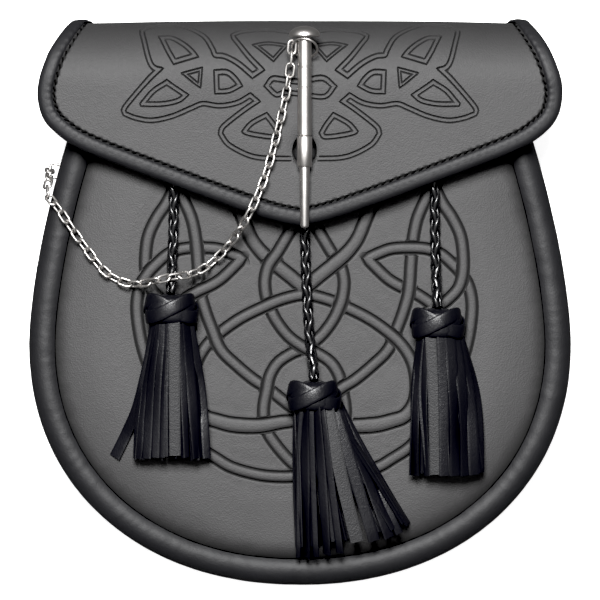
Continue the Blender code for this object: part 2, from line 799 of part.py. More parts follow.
def head_rings(tassel):
    top = head_centre(tassel)
    rings = []
    for down, size in ((0.0, 0.50), (0.14, 0.84), (0.45, 1.0), (0.82, 0.95), (1.0, 0.84)):
        ring = []
        for k in range(3 * SKIRT_STRIPS):
            turn = 2 * math.pi * k / (3 * SKIRT_STRIPS)
            ring.append(top + Vector((TASSEL_HEAD_WIDTH / 2 * size * math.cos(turn),
                                      -TASSEL_HEAD_LENGTH * down,
                                      TASSEL_HEAD_THICKNESS / 2 * size * math.sin(turn))))
        rings.append(ring)
    return rings


def skirt_ring(tassel, share):
    """A ring of the skirt: each strip two corners and the cleft after it, fanned by its place."""
    top = head_centre(tassel)
    left, right = tassel["fan"]
    neck_y = top.y - TASSEL_HEAD_LENGTH
    thickness = SKIRT_NECK_THICKNESS + (SKIRT_HEM_THICKNESS - SKIRT_NECK_THICKNESS) * share
    plan = []
    for k in range(SKIRT_STRIPS):
        for part, depth in ((-0.36, 1.0), (0.30, 1.0), (0.47, 0.78)):
            turn = 2 * math.pi * (k + part + 0.36) / SKIRT_STRIPS
            across = math.cos(turn)
            fan = math.radians((left + right) / 2 + (right - left) / 2 * across)
            start = top.x + SKIRT_NECK_WIDTH / 2 * depth * across
            plan.append((start + SKIRT_LENGTH * share * math.sin(fan),
                         neck_y - SKIRT_LENGTH * share * math.cos(fan), math.sin(turn) * depth))
    floor = max(panel_top(x, y) for x, y, _ in plan) + GAP
    return [Vector((x, y, floor + thickness / 2 * (1 + rise))) for x, y, rise in plan]


def tassel_object(tassel, material, collection):
    """The tassel: a knotted head and a skirt of cut strips, in one piece."""
    rings = head_rings(tassel) + [skirt_ring(tassel, share) for share in (0.02, 0.4, 0.7, 1.0)]
    name = "tassel_" + tassel["name"]
    obj = add_object(name, loft_mesh(name, rings), material, collection)
    smooth_shade(obj)
    return obj


def main():
    clear_scene()
    parts = make_collection("sporran_pouch")
    cutters = make_collection("cutters")
    leather = make_material("panel_leather", (0.030, 0.030, 0.032), 0.50)
    smooth_leather = make_material("binding_leather", (0.018, 0.018, 0.020), 0.38)
    cut_leather = make_material("tassel_leather", (0.010, 0.010, 0.013), 0.34)
    braid = make_material("braided_leather", (0.008, 0.008, 0.009), 0.28)
    nickel = make_material("nickel", (0.80, 0.78, 0.76), 0.16, 1.0)
    body_leather(leather, parts, cutters)
    gusset(smooth_leather, parts)
    front_panel(leather, parts)
    flap_binding(smooth_leather, parts)
    for side in (-1, 1):
        belt_loop(side, smooth_leather, parts)
    closure_barrel(nickel, parts, cutters)
    closure_pin(nickel, parts)
    pin_ring(nickel, parts)
    chain_staple(nickel, parts)
    chain(nickel, parts, cutters)
    for tassel in TASSELS:
        tube("cord_" + tassel["name"], cord_line(tassel), CORD_DIAMETER, 2, braid, parts)
        tassel_object(tassel, cut_leather, parts)


main()
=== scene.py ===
import math
import random

import bmesh
import bpy
import numpy as np
from mathutils import Matrix, Vector, noise
from mathutils.geometry import delaunay_2d_cdt


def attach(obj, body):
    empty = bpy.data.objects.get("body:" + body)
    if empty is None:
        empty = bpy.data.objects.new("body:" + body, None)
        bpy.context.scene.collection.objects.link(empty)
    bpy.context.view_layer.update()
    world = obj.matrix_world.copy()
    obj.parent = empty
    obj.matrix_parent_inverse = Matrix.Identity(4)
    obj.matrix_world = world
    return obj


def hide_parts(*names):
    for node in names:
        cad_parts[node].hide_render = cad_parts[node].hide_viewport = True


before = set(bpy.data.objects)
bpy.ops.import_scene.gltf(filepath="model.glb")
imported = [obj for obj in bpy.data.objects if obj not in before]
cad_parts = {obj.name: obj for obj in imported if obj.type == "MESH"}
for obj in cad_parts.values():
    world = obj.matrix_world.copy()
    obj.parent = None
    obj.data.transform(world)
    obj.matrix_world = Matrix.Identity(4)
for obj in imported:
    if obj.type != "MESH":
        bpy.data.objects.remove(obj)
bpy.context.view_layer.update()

# The looks of a black leather pouch with a pinned flap, a tether chain and three tassels.
# Lengths are in metres and angles in degrees. +X runs to the right of the front, +Y up to the
# fold of the flap and +Z out of the front.
MM = 0.001
GAP = 0.3 * MM

# The pouch's sizes are those of its solids, but for the front's dome (FRONT_RUN to SEAM_REACH)
# and the flap's curl (CURL_DEPTH to FOLD_ARC, the leather's length round it).
WIDTH, HEIGHT, DEPTH = 190 * MM, 198 * MM, 30 * MM
TOP_Y, BASE_Y = HEIGHT / 2, -HEIGHT / 2
WIDEST_ABOVE_BASE = 85 * MM
WIDEST_Y = BASE_Y + WIDEST_ABOVE_BASE
MOUTH_Y = TOP_Y - 23 * MM
BOWL_POWER = 2.15
MOUTH_TAPER, TAPER_POWER = 19.6 * MM, 1.6
SHOULDER_RADIUS, SEAM_ANGLE = 5.5 * MM, 50
GUSSET_WALL, FRONT_WALL, BACK_WALL = 2.0 * MM, 2.0 * MM, 2.4 * MM
FRONT_CROWN, FRONT_RUN, FRONT_RISE = 4.0 * MM, 24 * MM, 60 * MM
LIP_SHARE, LIP_RUN = 0.4, 6 * MM
SEAM_GROOVE, SEAM_REACH = 1.2 * MM, 0.75 * MM
BACK_DISH, BACK_RUN = 5.8 * MM, 25 * MM
SEAM_INSET = SHOULDER_RADIUS * (1 + math.cos(math.radians(SEAM_ANGLE)))
SEAM_DROP = SHOULDER_RADIUS * (1 - math.sin(math.radians(SEAM_ANGLE)))
PANEL_INSET = SEAM_INSET + GAP
PANEL_RIM_Z = DEPTH - SEAM_DROP
FLAP_WIDTH, FLAP_DROP, FLAP_DROOP = 183.4 * MM, 72.5 * MM, 3.0 * MM
FOLD_DEPTH = 14 * MM
BINDING_WIDTH, BINDING_THICKNESS = 5.5 * MM, 5.0 * MM
BINDING_WALL, BINDING_GAP, BINDING_START = 1.0 * MM, 0.4 * MM, -60
BINDING_OVERHANG = BINDING_WALL + BINDING_GAP
CORD_DIAMETER = 4.2 * MM
FLAP_Z = (PANEL_RIM_Z + FRONT_CROWN + CORD_DIAMETER + 2 * GAP + BINDING_THICKNESS / 2
          + FLAP_DROOP / 6)
FOLD_Y = TOP_Y - BINDING_THICKNESS / 2 - FOLD_DEPTH
CURL_DEPTH, CURL_RISE, CURL_Y = 20.0 * MM, 1.1 * MM, 76.5 * MM
FOLD_ARC = math.pi * math.hypot(CURL_DEPTH, (FLAP_Z - SEAM_DROP - BACK_DISH) / 2) / math.sqrt(2)
CLOSURE_X = 1.6 * MM
SLOT_WIDTH, SLOT_HEIGHT = 8.8 * MM, 12.5 * MM
BARREL_RADIUS, BARREL_BORE, BARREL_LENGTH = 2.6 * MM, 2.1 * MM, 10.5 * MM
BARREL_TOP_Y = TOP_Y - 41.2 * MM
STEM_Y = BARREL_TOP_Y - BARREL_LENGTH / 2
STEM_WIDTH, STEM_LENGTH = 2.4 * MM, 7.0 * MM
BASE_RADIUS, BASE_HEIGHT = 3.6 * MM, 1.2 * MM
PIN_RADIUS, PIN_TIP_RADIUS = 2.4 * MM, 1.5 * MM
PIN_Z = FLAP_Z + BACK_WALL / 2 + 1.4 * MM + PIN_RADIUS
PIN_TOP_Y = TOP_Y - 2.7 * MM
PIN_TIP_Y = PIN_TOP_Y - 70.5 * MM
HEAD_RADIUS, HEAD_HEIGHT = 5.4 * MM, 3.8 * MM
RING_RADIUS, RING_WIRE, RING_TILT, RING_TURN = 4.5 * MM, 0.8 * MM, 44, -12
HOOK_ANGLE = 188
LINK_PITCH, LINK_WIDTH, LINK_WIRE, HOOK_GAP = 4.05 * MM, 3.8 * MM, 0.95 * MM, 0.4 * MM
CHAIN_LEAN, TWIST_LINKS = 36, 6
STAPLE_WIRE, STAPLE_SPAN, STAPLE_REACH = 1.0 * MM, 4.6 * MM, 3.4 * MM
STAPLE_Y, STAPLE_Z = TOP_Y - 53 * MM, 13 * MM
TASSEL_HEAD = {"width": 18.6 * MM, "thickness": 13.0 * MM, "length": 10.5 * MM}
SKIRT_LENGTH, SKIRT_START = 49 * MM, 0.94 * TASSEL_HEAD["length"]
STRIP_STEPS, STRIP_SPACE = 25, 0.6 * MM
SKIRT_NECK_WIDTH, SKIRT_NECK_THICKNESS, SKIRT_HEM_THICKNESS = 15.6 * MM, 10.8 * MM, 7.6 * MM

# The cords' points are x and how far below the pouch's top they lie, and their fans are how
# far the skirts spread to the left and right.
TASSELS = [
    {"name": "left", "fan": (-6.5, 6.5), "length": 0.046,
     "cord": [(-0.0441, 0.0510), (-0.0441, 0.0610), (-0.0442, 0.0730), (-0.0446, 0.0850),
              (-0.0450, 0.0956)]},
    {"name": "middle", "fan": (2.0, 33.0), "length": 0.065,
     "cord": [(0.0016, 0.0620), (0.0017, 0.0740), (0.0022, 0.0910), (0.0034, 0.1110),
              (0.0048, 0.1260)]},
    {"name": "right", "fan": (-1.5, 10.5), "length": 0.051,
     "cord": [(0.0470, 0.0510), (0.0471, 0.0610), (0.0472, 0.0750), (0.0475, 0.0880),
              (0.0479, 0.1006)]},
]
CORD_LEVEL = 3.0 * MM

# The strips on the front of each skirt, the outer ones first: the line of each in the
# photograph's pixels, its width in millimetres, and how far it leans to the right from flat.
# The wide ones that lie nearly flat show their rough side, whose lighter colour is partly the
# leather's own and partly painted light, as these strips face the light.
ROUGH_LIT_LEAN, ROUGH_LIT_WIDTH = 10, 3.5
FRONT_STRIPS = {
    "left": [([(157, 330), (140, 400), (128, 430), (115, 457)], 4.2, -30),
             ([(155, 320), (143, 390), (138, 458)], 4.0, -58),
             ([(190, 320), (202, 390), (207, 458)], 3.0, 24),
             ([(158, 320), (151, 390), (147, 458)], 3.4, -40),
             ([(186, 320), (192, 390), (197, 458)], 3.8, 44),
             ([(163, 320), (158, 390), (156, 457)], 3.0, -28),
             ([(181, 320), (184, 390), (187, 457)], 2.6, 32),
             ([(168, 320), (164, 390), (163, 457)], 2.0, -34),
             ([(170, 320), (167, 390), (167, 456)], 1.6, -6),
             ([(175, 320), (175, 390), (175.5, 455)], 4.0, 0)],
    "middle": [([(340, 404), (358, 440), (378, 475), (408, 524)], 2.8, 58),
               ([(302, 403), (299, 450), (298.5, 557)], 1.7, -6),
               ([(337.5, 403), (355, 440), (373, 475), (399, 533)], 2.8, 18),
               ([(306, 403), (305, 450), (307, 557)], 3.6, -56),
               ([(335.5, 403), (351, 440), (366, 475), (389, 537)], 3.8, 42),
               ([(311, 403), (312, 450), (316, 556)], 2.2, -14),
               ([(332, 403), (344, 440), (356, 480), (374, 540)], 4.2, 12),
               ([(316, 403), (320, 450), (327, 554)], 3.4, -38),
               ([(321, 403), (327, 450), (340, 552)], 2.6, -20),
               ([(326, 403), (334, 440), (342, 480), (357, 541)], 4.7, 9)],
    "right": [([(460, 334), (476, 395), (481, 472)], 3.4, 56),
              ([(420, 334), (415, 395), (415.5, 475)], 3.6, -56),
              ([(457, 334), (469, 395), (474, 474)], 4.2, 30),
              ([(424, 334), (419.5, 395), (426, 466)], 1.3, -4),
              ([(454, 334), (462, 395), (465, 475)], 4.2, 46),
              ([(427, 334), (424, 395), (427, 475)], 2.6, -48),
              ([(449, 334), (453, 395), (455, 475)], 4.4, 40),
              ([(430, 334), (433, 395), (435, 474)], 4.0, -3),
              ([(441, 334), (443, 395), (444, 475)], 3.8, 13)],
}

# The chain's route: x, how far below the top, what carries it, and its height above that
CHAIN_ROUTE = [
    (-0.0036, 0.0190, "flap", 0.0030),
    (-0.0056, 0.0300, "flap", 0.0021),
    (-0.0087, 0.0430, "flap", 0.0021),
    (-0.0118, 0.0540, "flap", 0.0028),
    (-0.0153, 0.0630, "flap", 0.0038),
    (-0.0187, 0.0700, "flap", 0.0025),
    (-0.0232, 0.0768, "panel", 0.0056),
    (-0.0290, 0.0834, "panel", 0.0024),
    (-0.0364, 0.0886, "panel", 0.0056),
    (-0.0455, 0.0902, "panel", 0.0106),
    (-0.0540, 0.0922, "panel", 0.0056),
    (-0.0602, 0.0924, "panel", 0.0023),
    (-0.0680, 0.0884, "panel", 0.0023),
    (-0.0750, 0.0798, "panel", 0.0026),
    (-0.0800, 0.0728, "shoulder", 0.0024),
    (-0.0842, 0.0665, "shoulder", 0.0022),
]

# The flap's edge: shares of its drop and of half its width
FLAP_OUTLINE = [(0.000, 0.863), (0.085, 0.920), (0.190, 0.969), (0.340, 1.000), (0.470, 0.982),
                (0.560, 0.920), (0.640, 0.815), (0.763, 0.567), (0.890, 0.297), (0.968, 0.115),
                (1.000, 0.000)]

# The photograph's scale, and the lines of the knotwork as they lie in it, in its pixels. Each
# line is given on one side of its mirror axis.
PHOTO_PIXEL = 0.35 * MM
PHOTO_MIDDLE = (300.0, 302.5)
FRONT_AXIS = 304.5
LOOP_LINE = [(367, 259), (380, 272), (389, 280), (399, 286), (412, 292), (424, 299), (436, 309),
             (442, 324), (436, 338), (424, 338), (419, 326), (427, 313), (441, 305), (451, 297),
             (459, 287), (463, 272), (463, 253), (460, 235), (452, 218), (442, 203), (433, 184),
             (424, 203), (417, 220), (413, 240), (411, 262), (409, 290), (404, 310), (397, 329),
             (388, 350), (372, 366), (355, 380), (342, 388), (328, 399), (316, 408), (304.5, 413)]
SWEEP_LINE = [(380, 253), (392, 249), (409, 248), (426, 249), (440, 254), (452, 264), (462, 275),
              (469, 288), (472, 306), (470, 329), (465, 352), (457, 374), (446, 396), (430, 420),
              (412, 445), (392, 459), (376, 468), (350, 475), (327, 477), (304.5, 476)]
RING_LINE = [(304.5, 295), (325, 299), (345, 307), (369, 319), (390, 334), (404, 348), (413, 365),
             (416, 385), (414, 403), (405, 416), (392, 421), (375, 425), (350, 426), (325, 422),
             (304.5, 421)]
VEE_LINE = [(380, 184), (374, 200), (368, 214), (364, 224), (357, 240), (346, 254), (332, 266),
            (317, 278), (304.5, 289)]
EIGHT_LINE = [(304.5, 207), (318, 230), (331, 252), (340, 265), (344, 280), (343, 295), (339, 308),
              (332, 322), (320, 337), (304.5, 348), (291, 354), (278, 363), (270, 376), (267, 390),
              (264, 405), (264, 418), (268, 433), (279, 449), (292, 463), (304.5, 473)]

# The flap's incised outlines: the left half of the outer one, the holes on the left and the
# hole in the middle
FLAP_AXIS = 300
FLAP_EDGE_LINE = [(275, 157), (258, 156), (245, 152), (230, 143.5), (223, 134), (226, 128),
                  (245, 113), (260.6, 102.4), (250.6, 93.7), (237, 101.5), (220, 104.5),
                  (203, 102.5), (191, 107), (172, 115), (153, 119), (138, 117), (127, 113),
                  (127, 110), (134, 101), (149, 84), (164, 69), (153, 63), (146, 38), (144.5, 31),
                  (160, 26), (178, 26.8), (201, 36.4), (210.5, 49.7), (214.3, 57.4), (224, 59),
                  (237, 66), (252.5, 79.4), (265, 70.8), (250, 55), (238, 40), (235, 36),
                  (245, 33), (268, 31.5), (287, 33.5)]
FLAP_HOLES = [
    [(158.8, 36.4), (172, 36.4), (183.7, 42), (193, 49.7), (199, 57.4), (174, 65), (166.5, 51.7)],
    [(167.4, 80.4), (189.4, 95.7), (179.8, 103.3), (162.6, 107), (141.6, 107), (140.6, 104.3),
     (153, 90)],
    [(181.8, 73.7), (202.8, 68), (201, 89)],
    [(214.3, 70.8), (227.7, 70.8), (237.2, 78.4), (243, 87), (229.6, 93.7), (215.2, 94.7)],
    [(252.5, 45), (268, 42.5), (289, 45), (273.6, 62.2)],
    [(242, 132), (250.6, 122.4), (267, 113.3), (275.5, 124.4), (281, 134), (275.5, 139.7),
     (256.4, 137.8), (245, 135)],
]
FLAP_CENTRE_HOLE = [(264, 87), (271.7, 77.5), (285, 78.4), (300, 80), (323, 76.5), (337, 87),
                    (325, 99.5), (300, 97), (285, 95.7), (275.5, 97.6)]

# The raised bands of the front's knotwork: height in millimetres against the share of the
# band's half width, and against the millimetres outside its edge. An upper band cuts off what
# lies within BAND_OWNS of its edge, and the leather between the bands is puffed up a little.
BAND_HALF, BAND_OWNS, BAND_PUFF = 1.45 * MM, 0.95 * MM, 0.22 * MM
BAND_CROWN = [(0.0, 0.50), (0.45, 0.47), (0.78, 0.34), (1.0, 0.04)]
BAND_GROOVE = [(0.0, 0.04), (0.20, -0.58), (0.42, -0.88), (0.62, -0.58), (0.90, -0.04),
               (1.25, 0.06), (1.9, 0.0)]

# Where a band is wider than the rest: strand, place in the photograph, reach and extra
WIDER = [("ring", (239, 427), 20 * MM, 0.7 * MM), ("ring", (370, 425), 20 * MM, 0.7 * MM),
         ("vee", (345, 256), 30 * MM, 0.35 * MM), ("vee", (264, 256), 30 * MM, 0.35 * MM)]

# The flap's grooves, how far from each its second line lies and its share of the depth, and
# the area in pixels under which a hole is so small that the second line lies closer
GROOVE_HALF, GROOVE_DEPTH = 0.34 * MM, 0.85 * MM
COMPANION, COMPANION_SHARE = 1.5 * MM, 0.8
SMALL_HOLE, SMALL_SHARE = 400, 0.65

# How much painted shade darkens the flap's colour at the top of its fold, where the leather turns
# away from the light
FOLD_PAINTED_SHADE = 0.62

# The stitches along the binding, and the groove that they pull into the leather
STITCH_PITCH = 2.8 * MM
STITCH_INSET = BINDING_WIDTH - BINDING_OVERHANG + 0.45 * MM
STITCH_HALF, STITCH_SLANT = 0.80 * MM, 0.50 * MM
PINCH_HALF, PINCH_JAG, PINCH_DEPTH, PINCH_STEP = 0.66 * MM, 0.2 * MM, 0.95 * MM, 0.2 * MM


def unit(vectors):
    return vectors / np.linalg.norm(vectors, axis=-1, keepdims=True)


def leftward(along):
    """The directions a quarter turn to the left of the given ones."""
    return np.stack([-along[:, 1], along[:, 0]], axis=1)


def left_of(line):
    return leftward(unit(np.gradient(line, axis=0)))


def length_along(line):
    """How far along the line each of its points lies."""
    return np.concatenate([[0.0], np.cumsum(np.linalg.norm(np.diff(line, axis=0), axis=1))])


def oval(x, y, half_x, half_y, count=40):
    turn = np.linspace(0, 2 * math.pi, count, endpoint=False)
    return np.column_stack([x + half_x * np.cos(turn), y + half_y * np.sin(turn)])


def level(flat, z):
    """Flat points at the height z."""
    return np.column_stack([flat, np.broadcast_to(z, len(flat))])


def catmull(points, steps=10):
    """A smooth curve through the points, with that many steps between each two."""
    ends = np.vstack([2 * points[0] - points[1], points, 2 * points[-1] - points[-2]])
    t = np.linspace(0, 1, steps, endpoint=False)[:, None]
    runs = [0.5 * (2 * b + (c - a) * t + (2 * a - 5 * b + 4 * c - d) * t**2
                   + (3 * b - a - 3 * c + d) * t**3)
            for a, b, c, d in zip(ends, ends[1:], ends[2:], ends[3:])]
    return np.vstack([*runs, points[-1]])


def even(points, step=None, count=None):
    """The same line with its points evenly spaced."""
    along = length_along(points)
    count = count or max(round(along[-1] / step), 1)
    at = np.linspace(0, along[-1], count + 1)
    return np.stack([np.interp(at, along, column) for column in points.T], axis=1)


def smooth_line(points, step, closed=False, sharp=60):
    """An even line through the points, smooth but where it turns by more than sharp degrees."""
    points = np.asarray(points, float)
    ahead = np.roll(points, -1, 0) - points
    behind = points - np.roll(points, 1, 0)
    cross = behind[:, 0] * ahead[:, 1] - behind[:, 1] * ahead[:, 0]
    corner = np.abs(np.degrees(np.arctan2(cross, (behind * ahead).sum(1)))) > sharp
    if closed and not corner.any():
        wrapped = catmull(np.vstack([points[-3:], points, points[:4]]))
        return even(wrapped[30:30 + 10 * len(points) + 1], step)[:-1]
    if closed:
        first = int(np.argmax(corner))
        points = np.vstack([np.roll(points, -first, 0), points[first]])
        corner = np.append(np.roll(corner, -first), True)
    corner[0] = corner[-1] = True
    marks = np.flatnonzero(corner)
    runs = [even(catmull(points[a:b + 1]), step)[:-1] for a, b in zip(marks, marks[1:])]
    return np.vstack(runs if closed else [*runs, points[-1]])


def from_photo(points):
    """Pixels of the photograph as x, y on the pouch."""
    return (np.asarray(points, float) - PHOTO_MIDDLE) * (PHOTO_PIXEL, -PHOTO_PIXEL)


def mirrored(points, axis):
    """The points on the other side of the mirror axis, in the opposite order."""
    return [(2 * axis - x, y) for x, y in points[::-1]]


def distance(points, line, chunk=4000):
    """How far each point is from the nearest point of the line, and which that is."""
    best, which = np.empty(len(points)), np.empty(len(points), int)
    for k in range(0, len(points), chunk):
        gaps = ((points[k:k + chunk, None] - line[None]) ** 2).sum(2)
        which[k:k + chunk] = gaps.argmin(1)
        best[k:k + chunk] = np.sqrt(gaps.min(1))
    return best, which


def inside(points, polygon):
    """Which points lie inside the closed polygon."""
    found = np.zeros(len(points), bool)
    for (x0, y0), (x1, y1) in zip(polygon, np.roll(polygon, -1, 0)):
        if y0 != y1:
            spans = (points[:, 1] > min(y0, y1)) & (points[:, 1] <= max(y0, y1))
            found ^= spans & (points[:, 0] < x0 + (points[:, 1] - y0) * (x1 - x0) / (y1 - y0))
    return found


def waviness(points, seed, high, size, low, fine):
    """Soft bumps high and size, with finer ones low and fine on them."""
    return high * wave(points, size, seed) + low * wave(points, fine, seed + 1)


def wave(points, size, seed):
    """Smooth noise from -1 to 1 at each point, whose bumps are about that size."""
    shift = Vector((seed * 3.7, seed * 1.3, seed * 7.1))
    return np.array([noise.noise(Vector(p) / size + shift) for p in points])


def both_sides(right):
    """A line from its far end on the left to that on the right, from its right half."""
    return np.vstack([(right * (-1, 1))[:0:-1], right])


def half_outline():
    """The right half of the pouch's outline, from the middle of its base to its mouth."""
    power = 2 / BOWL_POWER
    turn = np.linspace(math.pi / 2, 0, 200)
    bowl = np.stack([WIDTH / 2 * np.cos(turn) ** power,
                     WIDEST_Y - WIDEST_ABOVE_BASE * np.sin(turn) ** power], axis=1)
    share = np.linspace(0, 1, 100)[1:]
    sides = np.stack([WIDTH / 2 - MOUTH_TAPER * share**TAPER_POWER,
                      WIDEST_Y + (MOUTH_Y - WIDEST_Y) * share], axis=1)
    return even(np.vstack([bowl, sides]), count=400)


def inward_normals(half):
    along = np.gradient(half, axis=0)
    along[0] = (1, 0)
    return leftward(unit(along))


OUTLINE = half_outline()
INWARDS = inward_normals(OUTLINE)
SEAM = OUTLINE + INWARDS * PANEL_INSET


def seam_half_width(y):
    return np.interp(y, SEAM[:, 1], SEAM[:, 0], left=0.0)


def ease(share):
    """From 0 to 1, fast at first and slower towards the end."""
    return 1 - (1 - np.clip(share, 0, 1)) ** 2


def panel_top(x, y):
    """The height of the front panel's outer face."""
    across = ease((seam_half_width(y) - np.abs(x)) / FRONT_RUN)
    above = y - SEAM[0, 1]
    along = LIP_SHARE * ease(above / LIP_RUN) + (1 - LIP_SHARE) * ease(above / FRONT_RISE)
    return PANEL_RIM_Z + FRONT_CROWN * across * along


def back_middle(x, y):
    """The height of the middle of the back's leather."""
    y = np.minimum(y, MOUTH_Y)
    half_width = seam_half_width(y)
    x = np.clip(x, -half_width, half_width)
    dish = ease((half_width - np.abs(x)) / BACK_RUN) * ease((y - SEAM[0, 1]) / BACK_RUN)
    return SEAM_DROP + BACK_WALL / 2 + BACK_DISH * dish


def flap_middle(x):
    return FLAP_Z - FLAP_DROOP * (np.abs(x) / (FLAP_WIDTH / 2)) ** 3


def flap_top(x, y):
    """The height of the flap's outer face, over its fold too."""
    rise = np.clip((y - FOLD_Y) / (FOLD_DEPTH + BACK_WALL / 2), 0, 1)
    middle = (flap_middle(x) + SEAM_DROP + BACK_DISH + BACK_WALL / 2) / 2
    return middle + (flap_middle(x) + BACK_WALL / 2 - middle) * np.sqrt(1 - rise**2)


def loft(rings, loop=False):
    """Points and faces of a surface through rings, closed by end faces, or with loop by joining
    the last ring to the first."""
    rings = np.asarray(rings, float)
    count, size = rings.shape[:2]
    index = np.arange(count * size).reshape(count, size)
    low, high = (index, np.roll(index, -1, 0)) if loop else (index[:-1], index[1:])
    quads = np.stack([low, np.roll(low, -1, 1), np.roll(high, -1, 1), high], axis=-1)
    faces = quads.reshape(-1, 4).tolist()
    if not loop:
        faces += [index[0][::-1].tolist(), index[-1].tolist()]
    return rings.reshape(-1, 3), faces


def combine(parts):
    """Several points-and-faces pairs as one."""
    points, faces, start = [], [], 0
    for some, theirs in parts:
        points.append(some)
        faces += [[start + k for k in face] for face in theirs]
        start += len(some)
    return np.vstack(points), faces


def add_object(name, data):
    made = bpy.data.objects.new(name, data)
    bpy.context.scene.collection.objects.link(made)
    return made


def add_piece(name, shape, look, *nodes, sharp=None, groove=None):
    """Puts a piece in the scene, riding on the pouch, in place of the solids that it stands for.

    shape is its points and faces, look its material, sharp the angle above which an edge isn't
    shaded smooth, and groove how much painted shade darkens each point: mostly how deep in a groove
    it lies, and on the flap how near it is to the top of its fold.
    """
    points, faces = shape
    mesh = bpy.data.meshes.new(name)
    mesh.from_pydata(np.asarray(points).tolist(), [], faces)
    bm = bmesh.new()
    bm.from_mesh(mesh)
    bmesh.ops.recalc_face_normals(bm, faces=bm.faces)
    bm.to_mesh(mesh)
    bm.free()
    mesh.shade_smooth()
    if sharp:
        mesh.set_sharp_from_angle(angle=math.radians(sharp))
    if groove is not None:
        attribute = mesh.attributes.new("groove", "FLOAT", "POINT")
        attribute.data.foreach_set("value", np.asarray(groove, np.float32))
    mesh.materials.append(MATERIALS[look])
    piece = add_object(name, mesh)
    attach(piece, "root")
    if nodes:
        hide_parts(*nodes)
    return piece


def sweep(path, up, half_width, half_height, sides=10, power=1.0):
    """Rings of an oval section along a path: its height lies along up and its width across."""
    along = unit(np.gradient(path, axis=0))
    across = unit(np.cross(along, up))
    rise = np.cross(across, along)
    turn = 2 * math.pi * (np.arange(sides) + 0.5) / sides
    wide = np.sign(np.cos(turn)) * np.abs(np.cos(turn)) ** power
    high = np.sign(np.sin(turn)) * np.abs(np.sin(turn)) ** power
    half_width = np.broadcast_to(half_width, len(path))[:, None, None]
    half_height = np.broadcast_to(half_height, len(path))[:, None, None]
    return (path[:, None] + across[:, None] * wide[None, :, None] * half_width
            + rise[:, None] * high[None, :, None] * half_height)


def sweep_closed(path, up, half_width, half_height, sides, power=1.0):
    """Points and faces of an oval section swept along a path that ends where it starts."""
    up = np.broadcast_to(up, path.shape)
    path, up = (np.vstack([row[-2:], row, row[:2]]) for row in (path, up))
    return loft(sweep(path, up, half_width, half_height, sides, power)[2:-2], loop=True)


def add_camera():
    """Straight above the pouch's front, with a long lens, framed as the photograph."""
    distance_to_front, field = 3.0, 600 * PHOTO_PIXEL
    data = bpy.data.cameras.new("camera")
    data.sensor_width = 36
    data.lens = data.sensor_width * distance_to_front / field
    data.clip_end = 20
    camera = add_object("camera", data)
    camera.location = (0, (PHOTO_MIDDLE[1] - 300) * PHOTO_PIXEL, distance_to_front + DEPTH)
    bpy.context.scene.camera = camera


def feed(socket, value):
    """Sets a node's input to a value, or links it to another node's output."""
    if isinstance(value, bpy.types.NodeSocket):
        socket.id_data.links.new(value, socket)
    else:
        socket.default_value = value


def feed_all(node, **values):
    """Feeds a node's inputs by name, with _ for the spaces in it."""
    for name, value in values.items():
        feed(node.inputs[name.replace("_", " ")], value)


def add_node(tree, kind, settings=(), **values):
    """A shader node, with its own options as settings and its inputs as values."""
    made = tree.nodes.new("ShaderNode" + kind)
    for name, value in dict(settings).items():
        setattr(made, name, value)
    feed_all(made, **values)
    return made


def math_node(tree, operation, *inputs):
    made = add_node(tree, "Math", {"operation": operation})
    for socket, value in zip(made.inputs, inputs):
        feed(socket, value)
    return made.outputs[0]


def noise_node(tree, place, size, detail, roughness):
    made = add_node(tree, "TexNoise", Scale=1 / size, Detail=detail, Roughness=roughness,
                    Vector=place)
    return made.outputs["Fac"]


def new_material(name):
    """A material, its node tree and its shader."""
    material = bpy.data.materials.new(name)
    material.use_nodes = True
    return material, material.node_tree, material.node_tree.nodes["Principled BSDF"]


def leather(name, colour, roughness, cell=0.55 * MM, grain=0.25, crease=0.15, mottle=0.25,
            coat=0.0, shine=0.5):
    """Leather: pores, fine creases, cloudy colour and gloss, and painted shade that darkens its
    colour where its groove attribute is high.
    """
    material, tree, shader = new_material(name)
    place = add_node(tree, "TexCoord").outputs["Object"]
    pores = add_node(tree, "TexVoronoi", {"feature": "F1"}, Scale=1 / cell, Vector=place)
    fine = noise_node(tree, place, 1.6 * MM, 6.0, 0.65)
    cloud = noise_node(tree, place, 22 * MM, 5.0, 0.6)
    groove = add_node(tree, "Attribute", {"attribute_name": "groove"}).outputs["Fac"]
    shade = math_node(tree, "MULTIPLY_ADD", cloud, 2 * mottle, 1 - mottle)
    # Painted shade: the groove attribute darkens the colour in grooves, along the seam and
    # stitches, and at the top of the flap's fold.
    shade = math_node(tree, "MULTIPLY", shade, math_node(tree, "MULTIPLY_ADD", groove, -0.9, 1.0))
    grey = add_node(tree, "CombineColor", Red=shade, Green=shade, Blue=shade)
    mottled_and_painted_shade = add_node(tree, "Mix", {"data_type": "RGBA", "blend_type": "MULTIPLY"}, Factor=1.0,
                    A=(*colour, 1), B=grey.outputs[0])
    rough = math_node(tree, "MULTIPLY_ADD", fine, 0.10, roughness - 0.05)
    rough = math_node(tree, "MULTIPLY_ADD", groove, 0.25, rough)
    grained = add_node(tree, "Bump", Strength=grain, Distance=0.12 * MM,
                       Height=pores.outputs["Distance"])
    creased = add_node(tree, "Bump", Strength=crease, Distance=0.35 * MM, Height=fine,
                       Normal=grained.outputs["Normal"])
    feed_all(shader, Base_Color=mottled_and_painted_shade.outputs["Result"], Normal=creased.outputs["Normal"],
             Roughness=math_node(tree, "MINIMUM", rough, 1.0), Specular_IOR_Level=shine,
             Coat_Weight=coat, Coat_Roughness=0.35)
    return material


